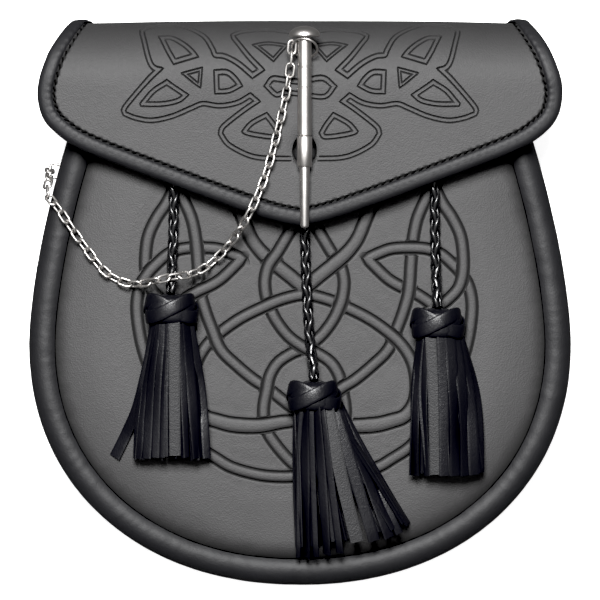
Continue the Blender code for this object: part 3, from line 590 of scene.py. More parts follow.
def metal(name, colour, roughness):
    """Polished plate with faint smears and fine wear."""
    material, tree, shader = new_material(name)
    place = add_node(tree, "TexCoord").outputs["Object"]
    smear = noise_node(tree, place, 6 * MM, 4.0, 0.6)
    speck = noise_node(tree, place, 0.5 * MM, 3.0, 0.5)
    smeared = add_node(tree, "Mix", {"data_type": "RGBA"}, Factor=smear,
                       A=(*(0.86 * c for c in colour), 1), B=(*colour, 1))
    worn = add_node(tree, "Bump", Strength=0.10, Distance=0.05 * MM, Height=speck)
    feed_all(shader, Metallic=1.0, Base_Color=smeared.outputs["Result"],
             Roughness=math_node(tree, "MULTIPLY_ADD", smear, 0.12, roughness - 0.06),
             Normal=worn.outputs["Normal"])
    return material


MATERIALS = {
    "panel": leather("panel_leather", (0.018, 0.0175, 0.018), 0.66, cell=0.5 * MM, grain=0.55,
                     crease=0.20),
    "binding": leather("binding_leather", (0.007, 0.007, 0.008), 0.58, grain=0.20, crease=0.35,
                       shine=0.30),
    "tassel": leather("tassel_leather", (0.003, 0.003, 0.0045), 0.38, cell=0.4 * MM, grain=0.30,
                      crease=0.30, shine=0.30),
    # The rough side's lighter colour is partly the leather's own and partly painted light on the
    # flat strips that face the light.
    "rough": leather("tassel_rough_side_and_light", (0.011, 0.011, 0.012), 0.62, cell=0.5 * MM, grain=0.8,
                     crease=0.4, mottle=0.4, shine=0.38),
    "braid": leather("braided_leather", (0.003, 0.003, 0.0035), 0.27, cell=0.4 * MM, grain=0.10,
                     crease=0.20, coat=0.2),
    "thread": leather("waxed_thread", (0.002, 0.002, 0.002), 0.75, cell=0.25 * MM, grain=0.6,
                      crease=0.4, shine=0.05),
    "nickel": metal("nickel", (0.69, 0.665, 0.645), 0.37),
    "chain": metal("nickel_chain", (0.49, 0.475, 0.46), 0.45),
}


def head_top(tassel):
    """The middle of the top of the tassel's head, below the cord's end."""
    x, down = tassel["cord"][-1]
    y = TOP_Y - down
    floor = panel_top(x, y - TASSEL_HEAD["length"] / 2)
    return np.array([x, y - GAP, floor + GAP + TASSEL_HEAD["thickness"] / 2])


def cord_path(tassel):
    """The cord's middle: along the panel, then up and level into the tassel's head."""
    laid = [np.array([x, TOP_Y - down, panel_top(x, TOP_Y - down) + GAP + CORD_DIAMETER / 2])
            for x, down in tassel["cord"]]
    end = laid.pop()
    end[2] = head_top(tassel)[2]
    path = catmull(np.array([*laid, end + (0, CORD_LEVEL, 0)]), 12)
    return even(np.vstack([path, end]), 0.35 * MM)


def braid(path, pitch=16 * MM, middle=1.16 * MM, weave=0.27):
    """Four flat laces round a cord's middle, two turning each way, over and under by turns."""
    along = unit(np.gradient(path, axis=0))
    side = unit(np.cross(along, (0, 0, 1)))
    up = np.cross(side, along)
    turn = 2 * math.pi * length_along(path) / pitch
    parts = []
    for way in (1, -1):
        for start in (0, math.pi):
            angle = way * turn + start + math.pi / 4
            out = side * np.cos(angle)[:, None] + up * np.sin(angle)[:, None]
            reach = middle * (1 + way * weave * np.cos(2 * turn))
            parts.append(loft(sweep(path + out * reach[:, None], out, 0.98 * MM, 0.60 * MM)))
    return combine(parts)


def add_cord(tassel):
    """The braided cord of one tassel."""
    path = cord_path(tassel)
    name = "cord_" + tassel["name"]
    return add_piece("braided_" + name, braid(path), "braid", name), path


def ribbon_knot(tassel, turns=2, bights=3):
    """The woven collar of a tassel's head: one flat lace that laps itself over and under."""
    top = head_top(tassel)
    t = np.linspace(0, 2 * math.pi, 420, endpoint=False)
    down = 0.5 - 0.29 * np.cos(bights * t - math.pi / 4)
    shape = np.interp(down, [0.0, 0.14, 0.45, 0.82, 1.0], [0.62, 0.84, 1.0, 0.97, 0.88])
    lift = 0.45 * MM * np.sin(bights * (turns - 1) * t - math.pi / 4)
    angle = turns * t
    wide = TASSEL_HEAD["width"] / 2 - 0.35 * MM
    thick = TASSEL_HEAD["thickness"] / 2 - 0.7 * MM
    path = np.stack([(wide * shape + lift) * np.cos(angle), -TASSEL_HEAD["length"] * down,
                     (thick * shape + lift) * np.sin(angle)], axis=1)
    out = np.stack([np.cos(angle) / wide, 0.35 * (down - 0.5) / -wide, np.sin(angle) / thick],
                   axis=1)
    return sweep_closed(path + top, unit(out), 2.45 * MM, 0.55 * MM, 14, 0.7)


def head_core(tassel):
    """The bound top of the tassel inside its collar, domed up to the cord."""
    top = head_top(tassel)
    wide, thick = TASSEL_HEAD["width"] / 2, TASSEL_HEAD["thickness"] / 2
    rings = [level(oval(0, 0, wide * size, thick * size), -TASSEL_HEAD["length"] * down)
             for down, size in ((0.03, 0.27), (0.06, 0.50), (0.12, 0.72), (0.22, 0.86), (0.5, 0.93),
                                (0.8, 0.92), (0.93, 0.87), (1.0, 0.76), (1.03, 0.5))]
    return loft(np.array(rings)[:, :, (0, 2, 1)] + top)


def skirt_room(x, y, share):
    """The lowest height of a strip's middle on the panel, and half the room that the skirt has
    above it, that share of its length down."""
    thickness = SKIRT_NECK_THICKNESS + (SKIRT_HEM_THICKNESS - SKIRT_NECK_THICKNESS) * share
    return panel_top(x, y) + GAP + STRIP_SPACE, thickness / 2 - STRIP_SPACE


def cut_strip(x, y, z, lean, half_width, half_thickness):
    """A flat strip along a line, whose face is turned up from the right by lean."""
    out = np.stack([np.cos(lean), np.zeros(len(x)), np.sin(lean)], axis=1)
    return loft(sweep(np.column_stack([x, y, z]), out, half_width, half_thickness, 12, 0.45))


def strip(tassel, turn, depth, width, twist, curl, reach, draw):
    """One cut strip of a tassel's skirt, from the neck to its squared end."""
    top = head_top(tassel)
    left, right = tassel["fan"]
    across = math.cos(turn)
    fan = math.radians((left + right) / 2 + (right - left) / 2 * across + draw)
    share = np.linspace(0, reach, STRIP_STEPS + 1)
    start = top[0] + SKIRT_NECK_WIDTH / 2 * depth * across
    x = start + SKIRT_LENGTH * share * math.sin(fan)
    x += 0.5 * MM * math.sin(3 * turn + 1) * np.sin(math.pi * share)
    y = top[1] - SKIRT_START - SKIRT_LENGTH * share * math.cos(fan)
    floor, room = skirt_room(x, y, share)
    z = floor + room * (1 + math.sin(turn) * depth) + curl * share**3
    lean = turn + np.radians(twist) * share ** 0.7
    return cut_strip(x, y, np.maximum(z, floor), lean, width / 2, 0.42 * MM)


def front_strip(tassel, points, width, lean, lift):
    """One strip on the skirt's front, along its line in the photograph."""
    top = head_top(tassel)
    x, y = even(catmull(from_photo(points), 8), count=STRIP_STEPS).T
    share = np.clip((top[1] - SKIRT_START - y) / SKIRT_LENGTH, 0, 1.1)
    left, right = (math.sin(math.radians(angle)) for angle in tassel["fan"])
    middle = top[0] + SKIRT_LENGTH * share * (left + right) / 2
    half = SKIRT_NECK_WIDTH / 2 + SKIRT_LENGTH * share * (right - left) / 2
    across = np.clip((x - middle) / half, -1, 1)
    floor, room = skirt_room(x, y, share)
    stray = np.clip((np.abs(x - middle) / half - 1) / 0.3, 0, 1)
    z = floor + room * (1 + np.sqrt(1 - across**2)) * (1 - stray) + lift
    turn = math.radians(lean) * (0.75 + 0.25 * np.cos(2 * math.pi * share + lean))
    return cut_strip(x, y, z, math.pi / 2 - turn, width / 2 * MM, 0.40 * MM)


def skirt(tassel, seed):
    """The skirt's strips, those with their smooth side out and those with their rough side out,
    whose lighter colour is partly painted light.

    The front ones lie as in the photograph, and the rest by chance.
    """
    draw = random.Random(seed)
    smooth, rough = [], []
    for k, (points, width, lean) in enumerate(FRONT_STRIPS[tassel["name"]]):
        # Painted light in part: the wide flat strips, which face the light, take the lighter rough
        # side.
        kind = rough if abs(lean) < ROUGH_LIT_LEAN and width > ROUGH_LIT_WIDTH else smooth
        kind.append(front_strip(tassel, points, width, lean, 0.12 * MM * k))
    for count, depth in ((16, 0.86), (10, 0.5)):
        for k in range(count):
            turn = 2 * math.pi * (k + draw.uniform(-0.25, 0.25)) / count
            twist = draw.gauss(0, 25) + 50 * math.copysign(max(math.sin(turn), 0), math.cos(turn))
            smooth.append(strip(tassel, turn, depth, draw.uniform(3.2, 4.4) * MM, twist,
                                draw.uniform(-0.6, 0.0) * MM, draw.uniform(0.955, 0.99),
                                draw.gauss(0, 0.8)))
    return combine(smooth), combine(rough)


def add_tassel(tassel, seed):
    """One tassel on its cord."""
    cord, path = add_cord(tassel)
    name = "tassel_" + tassel["name"]
    bound = combine([ribbon_knot(tassel), head_core(tassel)])
    head = add_piece(name + "_head", bound, "tassel", name)
    smooth, rough = skirt(tassel, seed)
    hem = add_piece(name + "_skirt", smooth, "tassel", name, sharp=50)
    strips = add_piece(name + "_rough_lit_strips", rough, "rough", name, sharp=50)


add_camera()
for number, tassel in enumerate(TASSELS):
    add_tassel(tassel, number + 1)


def triangulate(boundary, holes, lines, spacing):
    """Triangles over a flat region, with edges along the given lines and an even fill between.

    lines holds pairs of points and whether the line is closed. Returns points and triangles.
    """
    low, high = boundary.min(0), boundary.max(0)
    columns = np.arange(low[0], high[0], spacing)
    rows = np.arange(low[1], high[1], spacing * 0.87)
    x, y = np.meshgrid(columns, rows)
    x[1::2] += spacing / 2
    fill = np.stack([x.ravel(), y.ravel()], axis=1)
    fill = fill[inside(fill, boundary)]
    lines = [(boundary, True), *((hole, True) for hole in holes), *lines]
    dense = np.vstack([line for line, _ in lines])
    fill = fill[distance(fill, dense)[0] > spacing * 0.55]
    points, edges = [fill], []
    start = len(fill)
    for line, closed in lines:
        index = np.arange(start, start + len(line))
        after = np.roll(index, -1)
        pairs = np.stack([index, after], axis=1)
        keep = np.linalg.norm(line - np.roll(line, -1, 0), axis=1) < 3 * MM
        edges += pairs[keep if closed else keep & (index < index[-1])].tolist()
        points.append(line)
        start += len(line)
    flat = [Vector(p) for p in np.vstack(points) / MM]
    found, _, faces, *_ = delaunay_2d_cdt(flat, edges, [], 0, 1e-4)
    found = np.array([tuple(p) for p in found]) * MM
    faces = np.array(faces)
    centres = found[faces].mean(1)
    keep = inside(centres, boundary)
    for hole in holes:
        keep &= ~inside(centres, hole)
    faces = faces[keep]
    used = np.unique(faces)
    place = np.full(len(found), -1)
    place[used] = np.arange(len(used))
    return found[used], place[faces]


def close_sheet(outer, inner, faces):
    """A solid between two sheets with the same triangles, closed along every free edge."""
    count = len(outer)
    faces = faces.tolist()
    edges = {}
    for face in faces:
        for a, b in zip(face, face[1:] + face[:1]):
            edges[(a, b)] = edges.get((a, b), 0) + 1
    rim = [[b, a, a + count, b + count] for a, b in edges if (b, a) not in edges]
    back = [[k + count for k in face[::-1]] for face in faces]
    return np.vstack([outer, inner]), faces + back + rim


def add_sheet(name, outer, inner, faces, groove, node):
    """One of the two leathers that the pouch is made of, with its grooves on the outside."""
    add_piece(name, close_sheet(outer, inner, faces), "panel", node, sharp=32,
              groove=np.concatenate([groove, np.zeros(len(inner))]))


def front_strands():
    """The knotwork's strands on the front: each a line of points and whether it is closed."""
    loops = (LOOP_LINE + mirrored(LOOP_LINE[:-1], FRONT_AXIS)
             + mirrored(SWEEP_LINE, FRONT_AXIS)[::-1] + SWEEP_LINE[-2::-1])
    ring = RING_LINE + mirrored(RING_LINE[1:-1], FRONT_AXIS)
    vee = VEE_LINE + mirrored(VEE_LINE[:-1], FRONT_AXIS)
    eight = EIGHT_LINE + mirrored(EIGHT_LINE[1:-1], FRONT_AXIS)
    return [{"name": name, "closed": closed,
             "line": smooth_line(from_photo(points), 0.5 * MM, closed, sharp=75)}
            for name, points, closed in (("loops", loops, True), ("ring", ring, True),
                                         ("vee", vee, False), ("eight", eight, True))]


def strand_halves(strand):
    """Half the width of the band at each of its points."""
    half = np.full(len(strand["line"]), BAND_HALF)
    for name, place, reach, extra in WIDER:
        if name == strand["name"]:
            away = np.linalg.norm(strand["line"] - from_photo(place), axis=1)
            half += extra * np.clip(1 - away / reach, 0, 1) ** 0.5
    return half


def crossings(strands):
    """Every place where strands cross: the two strands and the point of each that is nearest."""
    found = []
    for i, one in enumerate(strands):
        for j, other in enumerate(strands[i:], i):
            a, b = one["line"], other["line"]
            gaps = np.linalg.norm(a[:, None] - b[None], axis=2)
            if i == j:
                index = np.arange(len(a))
                apart = np.abs(index[:, None] - index[None])
                if one["closed"]:
                    apart = np.minimum(apart, len(a) - apart)
                gaps[(apart < 24) | (index[:, None] > index[None])] = 1
            along_a, along_b = unit(np.gradient(a, axis=0)), unit(np.gradient(b, axis=0))
            steep = np.abs(along_a[:, None, 0] * along_b[None, :, 1]
                           - along_a[:, None, 1] * along_b[None, :, 0]) > 0.25
            near = np.argwhere((gaps < 0.4 * MM) & steep)
            near = near[np.argsort(gaps[near[:, 0], near[:, 1]])]
            taken = []
            for p, q in near:
                if all(np.linalg.norm(a[p] - a[k]) > 2.5 * MM for k in taken):
                    taken.append(p)
                    found.append(((i, p), (j, q)))
    return found


def weave_levels(strands):
    """For each strand its crossings in order, as (point, over), over and under by turns."""
    meetings = crossings(strands)
    passes = {i: sorted({s for pair in meetings for k, s in pair if k == i})
              for i in range(len(strands))}
    partner = {}
    for one, other in meetings:
        partner[one], partner[other] = other, one
    over = {}
    for start in sorted(partner):
        if start in over:
            continue
        over[start] = False
        todo = [start]
        while todo:
            i, s = todo.pop()
            order = passes[i]
            at = order.index(s)
            near = [(partner[(i, s)], not over[(i, s)])]
            if strands[i]["closed"] or at:
                near.append(((i, order[at - 1]), not over[(i, s)]))
            if strands[i]["closed"] or at < len(order) - 1:
                near.append(((i, order[(at + 1) % len(order)]), not over[(i, s)]))
            for place, value in near:
                if place not in over:
                    over[place] = value
                    todo.append(place)
    return [[(s, over[(i, s)]) for s in passes[i]] for i in range(len(strands))]


def strand_pieces(strands):
    """The strands cut half way between crossings, each piece with its level."""
    pieces = []
    for i, (strand, passes) in enumerate(zip(strands, weave_levels(strands))):
        line, half, count = strand["line"], strand_halves(strand), len(strand["line"])
        first = len(pieces)
        for k, (s, over) in enumerate(passes):
            before, after = passes[k - 1][0], passes[(k + 1) % len(passes)][0]
            if strand["closed"]:
                low = s - ((s - before) % count) // 2
                high = s + ((after - s) % count) // 2
            else:
                low = 0 if k == 0 else (before + s) // 2
                high = count - 1 if k == len(passes) - 1 else (after + s) // 2
            index = np.arange(low, high + 1) % count
            pieces.append({"line": line[index], "half": half[index], "over": over, "strand": i})
        for k in range(first, len(pieces)):
            last = len(pieces) - 1
            pieces[k]["beside"] = (k - 1 if k > first else last, k + 1 if k < last else first)
    return pieces


def band_relief(points, pieces):
    """The height of the front's knotwork at each point, and how deep in a groove it is."""
    far = 9.0
    gaps = np.full((len(pieces), len(points)), far)
    halves = np.full((len(pieces), len(points)), BAND_HALF)
    reach = 6 * MM
    for k, piece in enumerate(pieces):
        near = near_line(points, piece["line"], reach)
        if len(near):
            gaps[k, near], which = distance(points[near], piece["line"])
            halves[k, near] = piece["half"][which]
    for k, piece in enumerate(pieces):
        for other in piece["beside"]:
            if other != k:
                worse = gaps[k] > gaps[other] + 1e-7
                gaps[k] = np.where(worse & (gaps[other] < reach), far, gaps[k])
    edge = gaps - halves
    over = np.array([piece["over"] for piece in pieces])[:, None]
    owned = edge < BAND_OWNS
    rank = np.where(owned, 2.0 * over - edge / (10 * MM), -9)
    winner = rank.argmax(0)
    column = np.arange(len(points))
    taken = owned.any(0)
    crown = np.interp(gaps[winner, column] / halves[winner, column], *zip(*BAND_CROWN))
    outside = np.interp(edge[winner, column] / MM, *zip(*BAND_GROOVE))
    height = np.where(edge[winner, column] < 0, crown, outside)
    free = np.interp(edge.min(0) / MM, *zip(*BAND_GROOVE))
    height = np.where(taken, height, free) * MM
    # The groove's depth also darkens the leather's colour, as painted shade.
    groove = np.clip(-height / (0.55 * MM), 0, 1)
    puff = BAND_PUFF * (1 - np.exp(-np.clip(edge.min(0) - 1.9 * MM, 0, None) / (3 * MM)))
    return height + np.where(taken, 0, puff), groove


def band_lines(pieces):
    """Lines along the edges of the bands' humps and grooves, where the surface bends."""
    lines = []
    over = [piece for piece in pieces if piece["over"]]
    steps = [("crown", share) for share, _ in BAND_CROWN]
    steps += [("groove", out) for out, _ in BAND_GROOVE[1:]]
    for piece in pieces:
        line, half = piece["line"][::2], piece["half"][::2]
        if len(line) < 3:
            continue
        for kind, amount in steps:
            offset = half * amount if kind == "crown" else half + amount * MM
            for side in ((1, -1) if offset.max() > 0 else (1,)):
                moved = line + left_of(line) * (side * offset)[:, None]
                keep = distance(moved, line)[0] > offset - 0.03 * MM
                for other in over:
                    if other is not piece and (kind == "groove" or not piece["over"]):
                        adjacent = any(pieces[k] is other for k in piece["beside"])
                        gap, which = distance(moved, other["line"])
                        clear = gap - other["half"][which] > BAND_OWNS + 0.03 * MM
                        keep &= clear | adjacent
                lines += [(run, False) for run in runs_of(moved, keep)]
    return lines


def runs_of(points, keep):
    """The unbroken runs of kept points, as separate lines."""
    marks = np.flatnonzero(np.diff(np.concatenate([[0], keep.astype(int), [0]])))
    return [points[a:b] for a, b in zip(marks[::2], marks[1::2]) if b - a > 1]


def near_line(points, line, reach):
    """Which points lie within reach of the box round the line."""
    low, high = line.min(0) - reach, line.max(0) + reach
    return np.flatnonzero(((points > low) & (points < high)).all(1))


def add_front():
    """The embossed front panel."""
    strands = front_strands()
    pieces = strand_pieces(strands)
    right = even(SEAM, 1.2 * MM)
    boundary = np.vstack([right, right[:0:-1] * (-1, 1)])
    points, faces = triangulate(boundary, [], band_lines(pieces), spacing=2.4 * MM)
    relief, groove = band_relief(points, pieces)
    edge, _ = distance(points, boundary)
    relief *= np.clip((edge - 1 * MM) / (3 * MM), 0, 1)
    seam = np.exp(-((edge / SEAM_REACH) ** 2))
    relief -= SEAM_GROOVE * seam
    # Painted shade: the seam's groove also darkens the colour, as a black line along it.
    groove = np.maximum(groove, np.minimum(1.5 * seam, 1))
    flat = level(points, 0)
    relief += waviness(flat, 1, 0.16 * MM, 24 * MM, 0.04 * MM, 6 * MM)
    top = panel_top(*points.T)
    add_sheet("embossed_front", level(points, top + relief), level(points, top - FRONT_WALL), faces,
              groove, "front_panel")


def flap_edge():
    """The right half of the flap's outer edge, from the top of its fold to its tip."""
    rows = np.array([(width * FLAP_WIDTH / 2, TOP_Y - drop * FLAP_DROP)
                     for drop, width in FLAP_OUTLINE])
    return catmull(rows, 12)


def leather_edge():
    """The edge of the leather inside the binding."""
    outer = flap_edge()
    along = np.gradient(outer, axis=0)
    along[-1] = (-1, 0)
    inner = outer - leftward(unit(along)) * BINDING_OVERHANG
    inner[-1, 0] = 0
    return inner


def width_at(edge, y):
    """How far from the middle the edge lies at the height y."""
    order = np.argsort(edge[:, 1])
    return np.interp(y, edge[order, 1], edge[order, 0])


def curl_depth(x):
    """How far the fold reaches up, most in the middle."""
    return CURL_DEPTH + CURL_RISE * (1 - (x / (FLAP_WIDTH / 2)) ** 2)


def unrolled(x, y):
    """How far along the leather a place on the flap's front lies, over the fold too."""
    share = np.clip((y - CURL_Y) / (curl_depth(x) + BACK_WALL / 2), 0, 0.985)
    return np.where(y <= CURL_Y, y, CURL_Y + FOLD_ARC * (90 - np.degrees(np.arccos(share))) / 180)


def rolled(x, v):
    """The middle of the leather at x and a length v along it: flap, fold and back."""
    turn = np.radians(90 - 180 * np.clip((v - CURL_Y) / FOLD_ARC, 0, 1))
    front = flap_middle(x)
    rear = back_middle(x, MOUTH_Y)
    y = np.where(v <= CURL_Y, v, CURL_Y + curl_depth(x) * np.cos(turn))
    z = np.where(v <= CURL_Y, front, (front + rear) / 2 + (front - rear) / 2 * np.sin(turn))
    behind = v > CURL_Y + FOLD_ARC
    y = np.where(behind, 2 * CURL_Y + FOLD_ARC - v, y)
    z = np.where(behind, back_middle(x, y), z)
    return np.column_stack([x, y, z])


def rolled_normals(x, v):
    e = 0.1 * MM
    across = rolled(x + e, v) - rolled(x - e, v)
    along = rolled(x, v + e) - rolled(x, v - e)
    return unit(np.cross(across, along))


def body_boundary():
    """The outline of the one leather that is flap, fold and back, laid flat."""
    edge = leather_edge()
    low = edge[::-1]
    low = low[low[:, 1] < CURL_Y]
    turns = np.linspace(90, 0, 10)
    y = CURL_Y + CURL_DEPTH * np.cos(np.radians(turns))
    v = CURL_Y + FOLD_ARC * (90 - turns) / 180
    front = np.column_stack([width_at(edge, y), v])
    mouth, top = SEAM[-1, 0], edge[0, 0]
    turns = np.linspace(0, -90, 10)[1:]
    v = CURL_Y + FOLD_ARC * (90 - turns) / 180
    rear = np.column_stack([mouth + (top - mouth) * (1 + turns / 90 * 0.8), v])
    back = SEAM[::-1] * (1, -1) + (0, 2 * CURL_Y + FOLD_ARC)
    right = even(np.vstack([low, front, rear, back]), 1.2 * MM)
    return np.vstack([right, right[-2:0:-1] * (-1, 1)])


def flap_contours():
    """The flap's incised outlines, laid flat, and where each has its second line: outside (1) or
    inside (-1), or closer in the small holes."""
    outer = FLAP_EDGE_LINE + mirrored(FLAP_EDGE_LINE, FLAP_AXIS)
    shapes = [(outer, 1), (FLAP_CENTRE_HOLE, -1)]
    for hole in FLAP_HOLES:
        x, y = np.array(hole).T
        area = abs(x @ np.roll(y, 1) - y @ np.roll(x, 1)) / 2
        side = -1 if area > SMALL_HOLE else -SMALL_SHARE
        shapes += [(hole, side), (mirrored(hole, FLAP_AXIS), side)]
    contours = []
    for points, side in shapes:
        line = from_photo(points)
        line[:, 1] = unrolled(*line.T)
        contours.append((smooth_line(line, 0.6 * MM, True), side))
    return contours


def contour_lines(contours):
    """Lines down the middle and along both edges of every incised groove."""
    lines = []
    for line, side in contours:
        normal = leftward(unit(np.roll(line, -1, 0) - np.roll(line, 1, 0)))
        if inside(line[:1] + normal[:1] * 0.1 * MM, line)[0]:
            normal = -normal
        for base in (0.0, COMPANION * side):
            for share in (-1.4, -1.0, -0.5, 0.0, 0.5, 1.0, 1.4):
                offset = base + share * GROOVE_HALF
                moved = line + normal * offset
                keep = distance(moved, line)[0] > abs(offset) - 0.04 * MM
                lines += [(run, False) for run in runs_of(moved, keep)]
    return lines


def incised(points, contours):
    """The height of the flap's knotwork at each point, and how deep in a groove it is."""
    height, groove = np.zeros(len(points)), np.zeros(len(points))
    for line, side in contours:
        near = near_line(points, line, 4 * MM)
        gap, _ = distance(points[near], line)
        gap = np.where(inside(points[near], line), -gap, gap)
        for base, depth in ((0.0, 1.0), (COMPANION * side, COMPANION_SHARE)):
            cut = np.clip(1 - np.abs(gap - base) / GROOVE_HALF, 0, 1) ** 1.15 * depth
            groove[near] = np.maximum(groove[near], cut)
        if side < 0:
            cell = np.clip((COMPANION * side - gap) / (2 * MM), 0, 1)
            height[near] += 0.10 * MM * cell * (2 - cell)
        else:
            height[near] += 0.05 * MM * np.clip(-gap / (0.6 * MM), 0, 1)
    # The grooves' depth also darkens the leather's colour, as painted shade.
    return height - GROOVE_DEPTH * groove, groove


def edge_run(boundary):
    """The stretch of the leather's edge that the binding clasps, from rear left to rear right."""
    last = CURL_Y + FOLD_ARC * (90 - BINDING_START) / 180
    right = boundary[:len(boundary) // 2 + 1]
    right = right[: np.argmax(right[:, 1] > last)]
    return both_sides(right)


def add_body(boundary):
    """The back, the fold and the incised flap, in one leather."""
    contours = flap_contours()
    slot, rim = (oval(CLOSURE_X, STEM_Y, SLOT_WIDTH / 2 + out, SLOT_HEIGHT / 2 + out)
                 for out in (0, 0.8 * MM))
    run = edge_run(boundary)
    stitch_line = run + left_of(run) * STITCH_INSET
    beside_stitches = [(even(run + left_of(run) * (STITCH_INSET + shift), 0.6 * MM), False)
                       for shift in np.array([-0.9, -0.6, -0.3, 0.0, 0.3, 0.6, 0.9, 1.5]) * MM]
    points, faces = triangulate(boundary, [slot], [*contour_lines(contours), (rim, True),
                                                   *beside_stitches], spacing=2.6 * MM)
    relief, groove = incised(points, contours)
    slot_gap, _ = distance(points, slot)
    clear = np.clip((slot_gap - 0.5 * MM) / (0.6 * MM), 0, 1)
    relief, groove = relief * clear, groove * clear
    seam, which = distance(points, even(stitch_line, PINCH_STEP))
    jag = PINCH_JAG * np.cos(2 * math.pi * which * PINCH_STEP / STITCH_PITCH)
    pinch = np.clip(1 - seam / (PINCH_HALF + jag), 0, 1) ** 1.1
    relief -= PINCH_DEPTH * pinch + 0.25 * MM * np.exp(-((slot_gap / (0.5 * MM)) ** 2))
    # Painted shade: the colour darkens towards the top of the flap's fold, where the leather turns
    # away from the light.
    painted_fold_shade = np.clip((points[:, 1] - (TOP_Y - 24 * MM)) / (22 * MM), 0, 1)
    painted_fold_shade = FOLD_PAINTED_SHADE * painted_fold_shade**1.5
    # Painted shade: the incised grooves, the stitches' groove and the fold's top all darken the
    # colour through the groove attribute.
    groove = np.maximum(np.maximum(groove, np.minimum(1.6 * pinch, 1)), painted_fold_shade)
    middle, normals = rolled(*points.T), rolled_normals(*points.T)
    relief += waviness(middle, 3, 0.12 * MM, 26 * MM, 0.03 * MM, 5 * MM)
    add_sheet("flap_and_back", middle + normals * (BACK_WALL / 2 + relief)[:, None],
              middle - normals * BACK_WALL / 2, faces, groove, "body_leather")


def add_binding(boundary):
    """The rolled strip round the flap's edge, creased and puckered at its stitches."""
    run = even(edge_run(boundary), 0.55 * MM)
    inwards = left_of(run)
    path, normals = rolled(*run.T), rolled_normals(*run.T)
    into = unit(rolled(*(run + inwards * 0.2 * MM).T) - path)
    half, slot = BINDING_THICKNESS / 2, BACK_WALL / 2 + BINDING_GAP
    turns = np.radians(np.linspace(90, 270, 17))
    outer = [(BINDING_WIDTH - 0.25 * MM, half - 0.5 * MM),
             (BINDING_WIDTH - 0.7 * MM, half - 0.12 * MM), (half + 1.3 * MM, half + 0.1 * MM)]
    outer += [(half + half * math.cos(t), half * math.sin(t)) for t in turns]
    outer += [(u, -v) for u, v in outer[2::-1]]
    section = [*outer, (BINDING_WIDTH, -slot), (BINDING_WALL, -slot), (BINDING_WALL, slot),
               (BINDING_WIDTH, slot)]
    pucker = 0.14 * MM * np.cos(2 * math.pi * length_along(path) / STITCH_PITCH)
    rings = []
    for k, (u, v) in enumerate(section):
        moved = path + into * (u - BINDING_OVERHANG) + normals * v
        if k < len(outer):
            out = -into * (half - u if u < half else 0) / half + normals * v / half
            creases = wave(path + into * u * 0.3 + normals * v * 0.3, 3.2 * MM, 5)
            lumps = wave(path + normals * v, 11 * MM, 6)
            grow = 0.10 * MM * creases + 0.16 * MM * lumps
            if u > BINDING_WIDTH - 1 * MM:
                grow -= pucker
            moved = moved + out * grow[:, None]
        rings.append(moved)
    add_piece("rolled_binding", loft(np.stack(rings, axis=1)), "binding", "flap_binding", sharp=70)


def add_stitches(boundary):
    """Slanting stitches of waxed thread along the binding's inner edge."""
    run = even(edge_run(boundary), STITCH_PITCH)
    inwards = left_of(run)
    along = unit(np.gradient(run, axis=0))
    places = run + inwards * STITCH_INSET
    parts = []
    for place, to, into in zip(places, along, inwards):
        share = np.linspace(-1, 1, 7)
        flat = place + np.outer(share, to) * STITCH_HALF + np.outer(share, into) * STITCH_SLANT
        up = rolled_normals(*flat.T)
        rise = BACK_WALL / 2 + (-0.22 - 0.5 * share**4) * MM
        thread = rolled(*flat.T) + up * rise[:, None]
        parts.append(loft(sweep(thread, up, 0.36 * MM, 0.30 * MM, 8)))
    add_piece("flap_stitches", combine(parts), "thread")


def add_gusset():
    """The strip round the pouch, rolled over at both seams and creased across its length."""
    half = even(OUTLINE, 0.7 * MM)
    path, inwards = both_sides(half), both_sides(inward_normals(half))
    radius = SHOULDER_RADIUS
    outer = [(radius * (1 + math.cos(t)), DEPTH - radius * (1 - math.sin(t)),
              math.cos(t), math.sin(t)) for t in np.radians(np.linspace(SEAM_ANGLE, 180, 19))]
    outer += [(0, DEPTH / 2, -1, 0)]
    outer += [(u, DEPTH - z, cu, -cz) for u, z, cu, cz in outer[-2::-1]]
    small = radius - GUSSET_WALL
    inner = [(radius + small * math.cos(t), DEPTH - radius + small * math.sin(t), 0, 0)
             for t in np.radians(np.linspace(SEAM_ANGLE, 180, 6))]
    inner += [(u, DEPTH - z, 0, 0) for u, z, _, _ in inner[::-1]]
    rings = []
    for u, z, out_u, out_z in outer + inner[::-1]:
        place = level(path + inwards * u, z)
        if out_u or out_z:
            turn = math.atan2(out_z, out_u)
            squeezed = level(path, turn * 2.2 * MM)
            creases = 1 - 2 * np.abs(wave(squeezed, 4.5 * MM, 7))
            lumps = wave(squeezed, 16 * MM, 8)
            grow = 0.10 * MM * (creases - 0.4) + 0.18 * MM * lumps
            grow *= min(1.0, 0.35 + (180 - abs(math.degrees(turn))) / 60)
            place = place + level(inwards * out_u, out_z) * grow[:, None]
            place[:, 2] = np.maximum(place[:, 2], 0)
        rings.append(place)
    add_piece("rolled_gusset", loft(np.stack(rings, axis=1)), "binding", "gusset", sharp=80)


BOUNDARY = body_boundary()
add_front()
add_body(BOUNDARY)
add_binding(BOUNDARY)
add_stitches(BOUNDARY)
add_gusset()


def turned(profile):
    """Rings turned about the pin's line, from a profile of radius and y."""
    rings = np.array([level(oval(CLOSURE_X, PIN_Z, r, r, 48), y) for r, y in profile])
    return rings[:, :, (0, 2, 1)]


